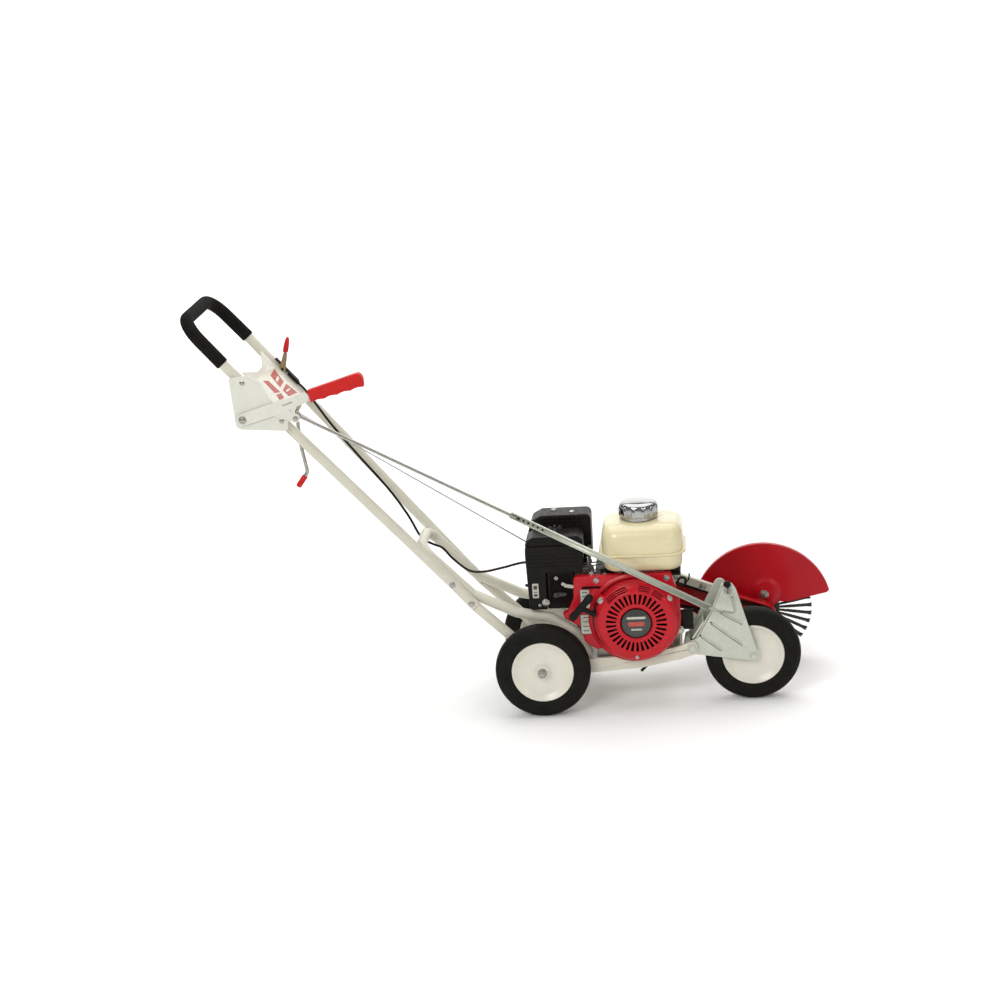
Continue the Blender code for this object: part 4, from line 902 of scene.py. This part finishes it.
def build_drive():
    crank, brush = (CRANK_X, BELT_Y, CRANK_Z), (BRUSH_X, BELT_Y, BRUSH_Z)
    piece("crank_stub", cross_bar(CRANK_X, CRANK_Z, 98.6, 150, 9.5), "bright_steel", "crankshaft",
        body="crank", bevel=0.8)
    piece("crank_sheave", lathe(grooved(DRIVE_RADIUS, 9.8), crank), "dark_steel", "drive_pulley",
        body="crank")
    belt = prism(belt_band(0), BELT_Y - 2.6, BELT_Y + 2.6, [belt_band(-6)])
    piece("belt_loop", belt, "black_rubber", "drive_belt")
    arm = prism(hull([(130, 128, 11), (IDLER_X, IDLER_Z, 9)]), 120, 124)
    upper = prism(hull([(134, 142, 6), (150, 190, 6)]), 120.5, 123.5)
    axle = merge(cross_bar(IDLER_X, IDLER_Z, 116, 146, 4), cross_bar(IDLER_X, IDLER_Z, 124, 130, 8))
    piece("tension_arm", merge(arm, upper, axle), "dark_steel", "idler_arm", body="idler_arm", bevel=0.6)
    pin = merge(cross_bar(130, 128, 98.4, 128, 5), cross_bar(130, 128, 98.4, 119.6, 9))
    piece("tension_pin", pin, "bright_steel", "idler_arm_pin", bevel=0.5)
    wheel = mirrored([(4.3, 6), (18, 6), (20, 5), (20, 3.5), (18.5, 2.5)])
    piece("tension_roller", lathe(wheel, (IDLER_X, BELT_Y, IDLER_Z)), "bright_steel", "idler_pulley",
        body="idler_pulley")

    corners = [(252, 236), (384, 184), (418, 132), (456, 117)]
    arm = [prism(hull([a + (9,), b + (9,)]), 108.8 + k * 0.2, 122 - k * 0.2)
        for k, (a, b) in enumerate(zip(corners, corners[1:]))]
    post = cross_bar(405, 141, 115, GUARD_Y - 0.4, 8)
    tube_end = lathe([(9.8, 0), (22.6, 0), (24, 1.4), (24, 38.6), (22.6, 40), (9.8, 40)],
        (BRUSH_X, 84, BRUSH_Z), (0, 1, 0), 64)
    piece("spindle_carrier", merge(tube_end, post, *arm), "cream_paint", "spindle_arm", bevel=1.2,
        segments=3)
    for k, (x, z) in enumerate(((262, 232), (284, 223), (345, 197.5))):
        near_bolt("carrier_bolt_%d" % k, x, 108.8, z, 6, 4, 0.4)

    shaft = merge(cross_bar(BRUSH_X, BRUSH_Z, 78, 213.4, 9.5), cross_bar(BRUSH_X, BRUSH_Z, 77, 83.6, 13),
        prism(circle(BRUSH_X, BRUSH_Z, 17, 6), BRUSH_Y + 8.4, BRUSH_Y + 15.6))
    piece("spindle_bar", shaft, "bright_steel", "spindle_shaft", body="spindle", bevel=0.8)
    piece("brush_sheave", lathe(grooved(DRIVEN_RADIUS, 9.8), brush), "dark_steel", "driven_pulley",
        body="spindle")
    build_brush()


def build_brush():
    hub = mirrored([(9.8, 8), (20, 8), (22, 7.4), (24, 5.6), (32, 5.6), (36, 6.4), (39, 6.0), (40, 4)])
    centre = Vector((BRUSH_X, BRUSH_Y, BRUSH_Z))
    piece("brush_hub", lathe(hub, centre), "dark_steel", "wire_brush", body="spindle", angle=30)
    strands = []
    for k in range(KNOTS):
        angle = radians(1.8 + 360 / KNOTS * k)
        aim = Vector((cos(angle), 0, sin(angle)))
        side, across = Vector((-aim.z, 0, aim.x)), Vector((0, 1, 0))
        for j in range(STRANDS):
            phase = 2 * pi * j / STRANDS
            route = []
            for step in range(STRAND_STEPS + 1):
                t = step / STRAND_STEPS
                spread = 1.1 + 1.0 * min(1, 3 * t) + (1.6 * max(0.0, t - 0.86) / 0.14)
                twist = phase + 10.5 * t
                point = centre + aim * (KNOT_ROOT + KNOT_LENGTH * t) + side * spread * cos(twist)
                route.append(point + across * spread * sin(twist))
            strands.append(tube(route, 1.6, 7))
    piece("brush_knots", merge(*strands), "wire", body="spindle", angle=70)


def build_guards():
    tips = [(337, 180), (371, 166), (390, 158), (394, 131), (416, 131), (424, 143), (452, 132), (536, 131),
        (619, 149)]
    centre = Vector((475.5, 114.0))
    start = atan2(149 - centre.y, 619 - centre.x)
    sweep = atan2(180 - centre.y, 337 - centre.x) - start
    outer = [tuple(centre + GUARD_RADIUS * Vector((cos(start + sweep * k / 96),
        sin(start + sweep * k / 96)))) for k in range(1, 96)]
    shield = prism(tips + outer, GUARD_Y, GUARD_Y + 3)
    inner = [tuple(centre + (Vector(p) - centre) * (1 - 3 / GUARD_RADIUS)) for p in outer]
    rim = prism(outer + inner[::-1], GUARD_Y + 1, GUARD_Y + 13)
    piece("brush_cover", merge(shield, rim), "red_paint", "brush_guard", bevel=0.9, segments=3)
    boss = [(0, 4.6), (20, 4.4), (25, 3.6), (29, 1.6), (33, 0.3), (36, -0.2)]
    piece("cover_boss", lathe(boss, (GUARD_BOLT[0] + 4, GUARD_Y, GUARD_BOLT[1] + 8), (0, -1, 0), 96,
        closed=False), "red_paint")
    nut = merge(bolt(GUARD_BOLT[0], GUARD_Y - 4.4, GUARD_BOLT[1] + 3, 7.6, -1, 5),
        cross_bar(GUARD_BOLT[0], GUARD_BOLT[1], GUARD_Y - 5, GUARD_Y + 6, 4))
    piece("cover_nut", nut, "bright_steel", "guard_bolt", bevel=0.5)

    outline = hull([(CRANK_X, CRANK_Z, 40), (BRUSH_X, BRUSH_Z, 31)], 72)
    face = prism(outline, 155.5, 158, [circle(BRUSH_X, BRUSH_Z, 12.5, 40), circle(405, 141, 10, 32)])
    wall = bmesh.new()
    for (x0, z0), (x1, z1) in zip(outline, outline[1:] + outline[:1]):
        steps = max(1, round(abs(x1 - x0) / 6))
        for k in range(steps):
            xa, xb = x0 + (x1 - x0) * k / steps, x0 + (x1 - x0) * (k + 1) / steps
            za, zb = z0 + (z1 - z0) * k / steps, z0 + (z1 - z0) * (k + 1) / steps
            if 222 < (xa + xb) / 2 < 306 and za < 170:
                continue
            wall.faces.new([wall.verts.new(p) for p in ((xa, 130, za), (xb, 130, zb), (xb, 156, zb),
                (xa, 156, za))])
    bmesh.ops.remove_doubles(wall, verts=wall.verts, dist=0.01)
    middle = Vector(((CRANK_X + BRUSH_X) / 2, 145, (CRANK_Z + BRUSH_Z) / 2))
    bmesh.ops.recalc_face_normals(wall, faces=wall.faces)
    if sum(f.normal.dot(f.calc_center_median() - middle) for f in wall.faces) < 0:
        bmesh.ops.reverse_faces(wall, faces=wall.faces)
    piece("belt_cover_skirt", wall, "red_paint", thickness=2.4)
    piece("belt_cover_face", face, "red_paint", "belt_guard", bevel=1.0, segments=3)
    for k, (x, z) in enumerate(((203, 201), (330, 163))):
        piece("belt_cover_screw_%d" % k, bolt(x, 158, z, 5, 1, 3), "bright_steel", bevel=0.4)


# ---- Controls ----------------------------------------------------------------------------------

def finger_grip():
    start, aim = Vector((-440, 729)), Vector((111, 30)).normalized()
    across = Vector((-aim.y, aim.x))
    length, outline = 115, []
    for k in range(65):
        t = k / 64
        drop = -(13 + 2 * t) + 2.4 * abs(sin(4 * pi * t))
        outline.append(tuple(start + aim * length * t + across * drop))
    for along, up in ((117, -8), (119, 2), (117.5, 10), (113, 15), (106, 16)):
        outline.append(tuple(start + aim * along + across * up))
    outline.append(tuple(start + across * 13.5))
    return outline


def build_controls():
    plate = rounded([(-606, 773, 5), (-566, 777, 14), (-540, 762, 14), (-522, 722, 16), (-488, 703, 4),
        (-492, 656, 8), (-600, 664, 14)], 8)
    piece("side_plate", prism(plate, -142, -139), "plate_paint", "control_plate", bevel=0.8)
    for k, (x, z) in enumerate(((-578, 762), (-503, 678))):
        head = lathe([(0, 0), (5.4, 0), (5.2, 0.9), (3.6, 1.5), (0, 1.6)], (x, -142, z), (0, -1, 0), 32)
        piece("side_plate_bolt_%d" % k, head, "bright_steel")
    arm = prism(hull([(LEVER_X, LEVER_Z, 13), (-500, 709, 13), (-452, 726, 11)]), LEVER_Y, LEVER_Y + 3)
    branch = prism(hull([(-512, 700, 12), (ROD_TOP[0], ROD_TOP[2], 9)]), LEVER_Y + 0.4, LEVER_Y + 2.7)
    pin = cross_bar(ROD_TOP[0], ROD_TOP[2], LEVER_Y + 1, -113, 3.6)
    piece("height_lever", merge(arm, branch, pin), "plate_paint", "depth_lever", body="depth_lever",
        bevel=0.8)
    mark = prism(hull([(-497, 712, 1.6), (-478, 718, 1.6)], 24), LEVER_Y - 0.2, LEVER_Y + 0.6)
    piece("height_lever_slot", mark, "bright_steel", body="depth_lever")
    piece("height_lever_pin_head", lathe([(0, 0), (5, 0), (4.8, 1.4), (3.4, 2.6), (0, 2.8)],
        (ROD_TOP[0], LEVER_Y, ROD_TOP[2]), (0, -1, 0), 32), "bright_steel", body="depth_lever")
    piece("lever_pivot_bolt", merge(cross_bar(LEVER_X, LEVER_Z, LEVER_Y, -132, 5),
        bolt(LEVER_X, LEVER_Y - 0.4, LEVER_Z, 6.2, -1, 4)), "bright_steel", "depth_lever_bolt", bevel=0.5)
    piece("height_lever_grip", prism(finger_grip(), LEVER_Y - 7, LEVER_Y + 10), "red_vinyl",
        "depth_lever_grip", body="depth_lever", bevel=4.5, segments=5, angle=60)

    build_rod()
    build_panel()

    pivot = Vector((THROTTLE_X, THROTTLE_Y, THROTTLE_Z))
    bar = bar_between(on_handle(524, THROTTLE_Y + 8, 14.2), on_handle(594, THROTTLE_Y + 8, 14.2), 10, 4)
    cheek = cross_bar(pivot.x, pivot.z, THROTTLE_Y + 2, THROTTLE_Y + 3.6, 7)
    pin = cross_bar(pivot.x, pivot.z, THROTTLE_Y - 3, THROTTLE_Y + 3, 3)
    piece("throttle_mount", merge(bar, cheek, pin), "black_plastic", "throttle_bracket", bevel=0.7)
    case = bar_between(on_handle(520, THROTTLE_Y + 1, 13), on_handle(552, THROTTLE_Y + 1, 13), 9, 8)
    piece("throttle_case", case, "black_paint", bevel=1.5, segments=3)
    shank = prism(hull([(pivot.x, pivot.z, 7), (-535, 763, 4.4)]), THROTTLE_Y - 1.5, THROTTLE_Y + 1.5)
    piece("throttle_shank", shank, "brass_zinc", "throttle_lever", body="throttle_lever", bevel=0.5)
    tip = [(0, 0), (5.2, 0), (5.8, 2), (6.0, 8), (5.6, 18), (4.6, 27), (3.2, 32), (1.6, 33.8), (0, 34)]
    piece("throttle_knob", lathe(tip, (-534.2, THROTTLE_Y, 767.4), (9, 0, 35), 40), "red_vinyl",
        "throttle_tip", body="throttle_lever", angle=60)

    route = [(-472.6, CLUTCH_Y, 700.2), (-487, CLUTCH_Y, 676), (-486, CLUTCH_Y, 640), (-484, CLUTCH_Y, 600),
        (-475.5, CLUTCH_Y, 544.2), (-482.7, CLUTCH_Y, 534.6)]
    piece("clutch_rod_handle", tube(bent(route, 14, 10), 4.0, 24), "bright_steel", "clutch_lever",
        body="clutch_lever")
    tip = lathe([(0, 0), (4.6, 0.4), (6, 2.4), (6.1, 26), (5, 29.4), (0, 30.6)], (-480.5, CLUTCH_Y, 537.5),
        (-18.5, 0, -24.5), 32)
    piece("clutch_knob", tip, "red_vinyl", "clutch_tip", body="clutch_lever", angle=60)
    eye = cross_bar(CLUTCH_X, CLUTCH_Z, CLUTCH_Y - 4, CLUTCH_Y + 4, 8, 40, 3.3)
    piece("clutch_eye", eye, "dark_steel", body="clutch_lever", bevel=0.5)
    piece("clutch_wire", rod((-486, -54, 674), (150, 118, 190), 1.5, 16), "bright_steel", "clutch_rod",
        body="clutch_rod")


def build_rod():
    top, join, foot = Vector(ROD_TOP), Vector(ROD_JOIN), Vector(ROD_FOOT)
    aim = (join - top).normalized()
    eye = rod(top - Vector((0, 4, 0)), top + Vector((0, 4, 0)), 8, 40, 3.8)
    long_rod = rod(top + aim * 7, join + aim * 14, 3.7, 32)
    run = (foot - join).normalized()
    hook = [foot - run * 4, foot + Vector((18, 1, -7)), Vector((412, -112, 212)), Vector((407, -112, 238)),
        Vector((404.5, -112, 247))]
    wire = tube(bent(hook, 5, 6), 3.0, 20)
    piece("depth_rod_bar", merge(eye, long_rod, wire), "bright_steel", "depth_rod", body="depth_rod",
        angle=40)
    side, up = Vector((0, 1, 0)), Vector((-run.z, 0, run.x))
    strip = bmesh.new()
    section = [(-3.0, -4.0), (2.4, -4.0), (3.0, -3.4), (3.0, 4.6), (2.4, 5.2), (-3.0, 5.2)]
    rows = [[strip.verts.new(point + side * a + up * b) for a, b in section] for point in (join, foot)]
    for i in range(len(section) - 1):
        strip.faces.new((rows[0][i], rows[0][i + 1], rows[1][i + 1], rows[1][i]))
    face_near(strip)
    piece("depth_rod_channel", strip, "pale_zinc", body="depth_rod", thickness=1.8)
    for k in range(7):
        at = join + run * (8 + 11 * k)
        hole = disc(2.3, 0.5, at + side * 0.9)
        piece("channel_hole_%d" % k, hole, "shadow", body="depth_rod")


def panel_outline(points, up):
    return [on_handle(s, y, up) for s, y in points]


def build_panel():
    half = handle_half(560) - TUBE_RADIUS - 12
    corners = [(490, MID_Y - half + 3), (490, -69), (512, -69), (512, -51), (490, -51),
        (490, MID_Y + half - 3), (628, MID_Y + half), (602, MID_Y + 34), (602, MID_Y - 30),
        (626, MID_Y - half)]
    panel = slab(panel_outline(corners, 6), HANDLE_UP * 2.5)
    lip = tube([on_handle(s, y, 7.2) for s, y in ((626, MID_Y - half), (603, MID_Y - 30), (603, MID_Y + 34),
        (628, MID_Y + half))], 1.8, 16)
    hanger = merge(prism([(-508, 685), (-524, 704), (-470, 715), (-461, 708), (-461, 700), (-468, 695)],
        CLUTCH_Y - 12, CLUTCH_Y - 5), cross_bar(CLUTCH_X, CLUTCH_Z, CLUTCH_Y - 8, CLUTCH_Y + 5, 3))
    piece("console_panel", merge(panel, lip, hanger), "cream_paint", "control_panel", bevel=0.6)
    sheet = [(516, -72), (503, -44), (503, 84), (586, 84), (594, 60), (594, -78), (560, -98), (524, -96)]
    piece("console_decal", slab(panel_outline(sheet, 8.5), HANDLE_UP * 0.5), "decal")
    blocks = (("a", [(581, 79), (548, 62), (546, 13), (578, 24)]),
        ("b", [(541, 62), (510, 77), (520, 12), (538, 12)]),
        ("c", [(583, -40), (575, -14), (540, -10), (548, -44)]),
        ("d", [(543, -46), (537, -12), (526, -20), (531, -54)]))
    for label, points in blocks:
        piece("decal_block_" + label, slab(panel_outline(points, 9.0), HANDLE_UP * 0.3), "red_print")
    for label, points in (("a", [(566, 60), (560, 56), (558, 24), (564, 28)]),
            ("b", [(530, 56), (526, 58), (529, 24), (533, 24)])):
        piece("decal_bar_" + label, slab(panel_outline(points, 9.25), HANDLE_UP * 0.25), "decal")


# ---- Scene -------------------------------------------------------------------------------------

def build_camera():
    yaw, pitch, roll = (radians(v) for v in (CAMERA_YAW, CAMERA_PITCH, CAMERA_ROLL))
    ahead = Vector((sin(yaw) * cos(pitch), cos(yaw) * cos(pitch), -sin(pitch)))
    right = Vector((cos(yaw), -sin(yaw), 0))
    up = right.cross(ahead)
    across = right * cos(roll) + up * sin(roll)
    over = up * cos(roll) - right * sin(roll)
    data = bpy.data.cameras.new("camera")
    data.lens, data.sensor_width = LENS, SENSOR
    data.clip_end = 50
    camera = bpy.data.objects.new("camera", data)
    camera.matrix_world = Matrix((across, over, -ahead)).transposed().to_4x4()
    camera.location = CAMERA_AT
    show(camera)
    bpy.context.scene.camera = camera


def area_light(name, at, aim, size, power):
    data = bpy.data.lights.new(name, "AREA")
    data.shape, data.size, data.size_y = "RECTANGLE", *size
    data.energy = power
    light = bpy.data.objects.new(name, data)
    light.location = at
    light.rotation_euler = (Vector(aim) - Vector(at)).to_track_quat("-Z", "Y").to_euler()
    show(light)


def build_stage():
    bm = bmesh.new()
    depth, bend, height = 6.0, 2.0, 6.0
    quarter = [pi / 2 * k / 12 for k in range(1, 13)]
    curve = [(depth + bend * sin(a), bend - bend * cos(a)) for a in quarter]
    profile = [(-8.0, 0.0), (depth, 0.0)] + curve + [(depth + bend, height)]
    rows = [[bm.verts.new((x, y, z)) for y, z in profile] for x in (-9, 9)]
    for k in range(len(profile) - 1):
        bm.faces.new((rows[0][k], rows[1][k], rows[1][k + 1], rows[0][k + 1]))
    mesh = bpy.data.meshes.new("floor")
    bm.to_mesh(mesh)
    bm.free()
    mesh.shade_smooth()
    n = Nodes("floor")
    white = n.ramp(n.noise(900, 2.0), [(0.3, (0.93, 0.93, 0.92)), (0.7, (0.96, 0.96, 0.95))])
    mesh.materials.append(n.made({"Base Color": white, "Roughness": 0.9, "Specular IOR Level": 0.1}))
    floor = bpy.data.objects.new("floor", mesh)
    show(floor)

    world = bpy.data.worlds.new("studio")
    world.use_nodes = True
    background = world.node_tree.nodes["Background"]
    background.inputs["Color"].default_value = (1, 1, 0.98, 1)
    background.inputs["Strength"].default_value = 0.26
    bpy.context.scene.world = world
    bpy.context.scene.view_settings.view_transform = "Standard"
    area_light("key", (-1.5, -3.4, 2.7), (0, 0, 0.35), (2.0, 1.6), 84)
    area_light("fill", (2.4, -3.2, 1.6), (0.1, 0, 0.3), (1.4, 1.6), 24)
    area_light("top", (0.1, 0.7, 3.4), (0, 0.2, 0), (4.5, 3.5), 96)
    area_light("backdrop", (0, 4.2, 5.0), (0, 7.6, 1.0), (10, 3), 470)


def main():
    build_frame()
    for label, body, x, y in (("near", "wheel_near", 0, NEAR_Y), ("far", "wheel_far", 0, FAR_Y),
            ("front", "wheel_front", FRONT_X, FRONT_Y)):
        build_wheel(label, body, x, y)
    build_chassis()
    build_fork()
    build_cover()
    build_housing()
    build_block()
    build_tank()
    build_intake()
    build_exhaust()
    build_starter()
    build_wires()
    build_drive()
    build_guards()
    build_controls()
    build_camera()
    build_stage()


main()
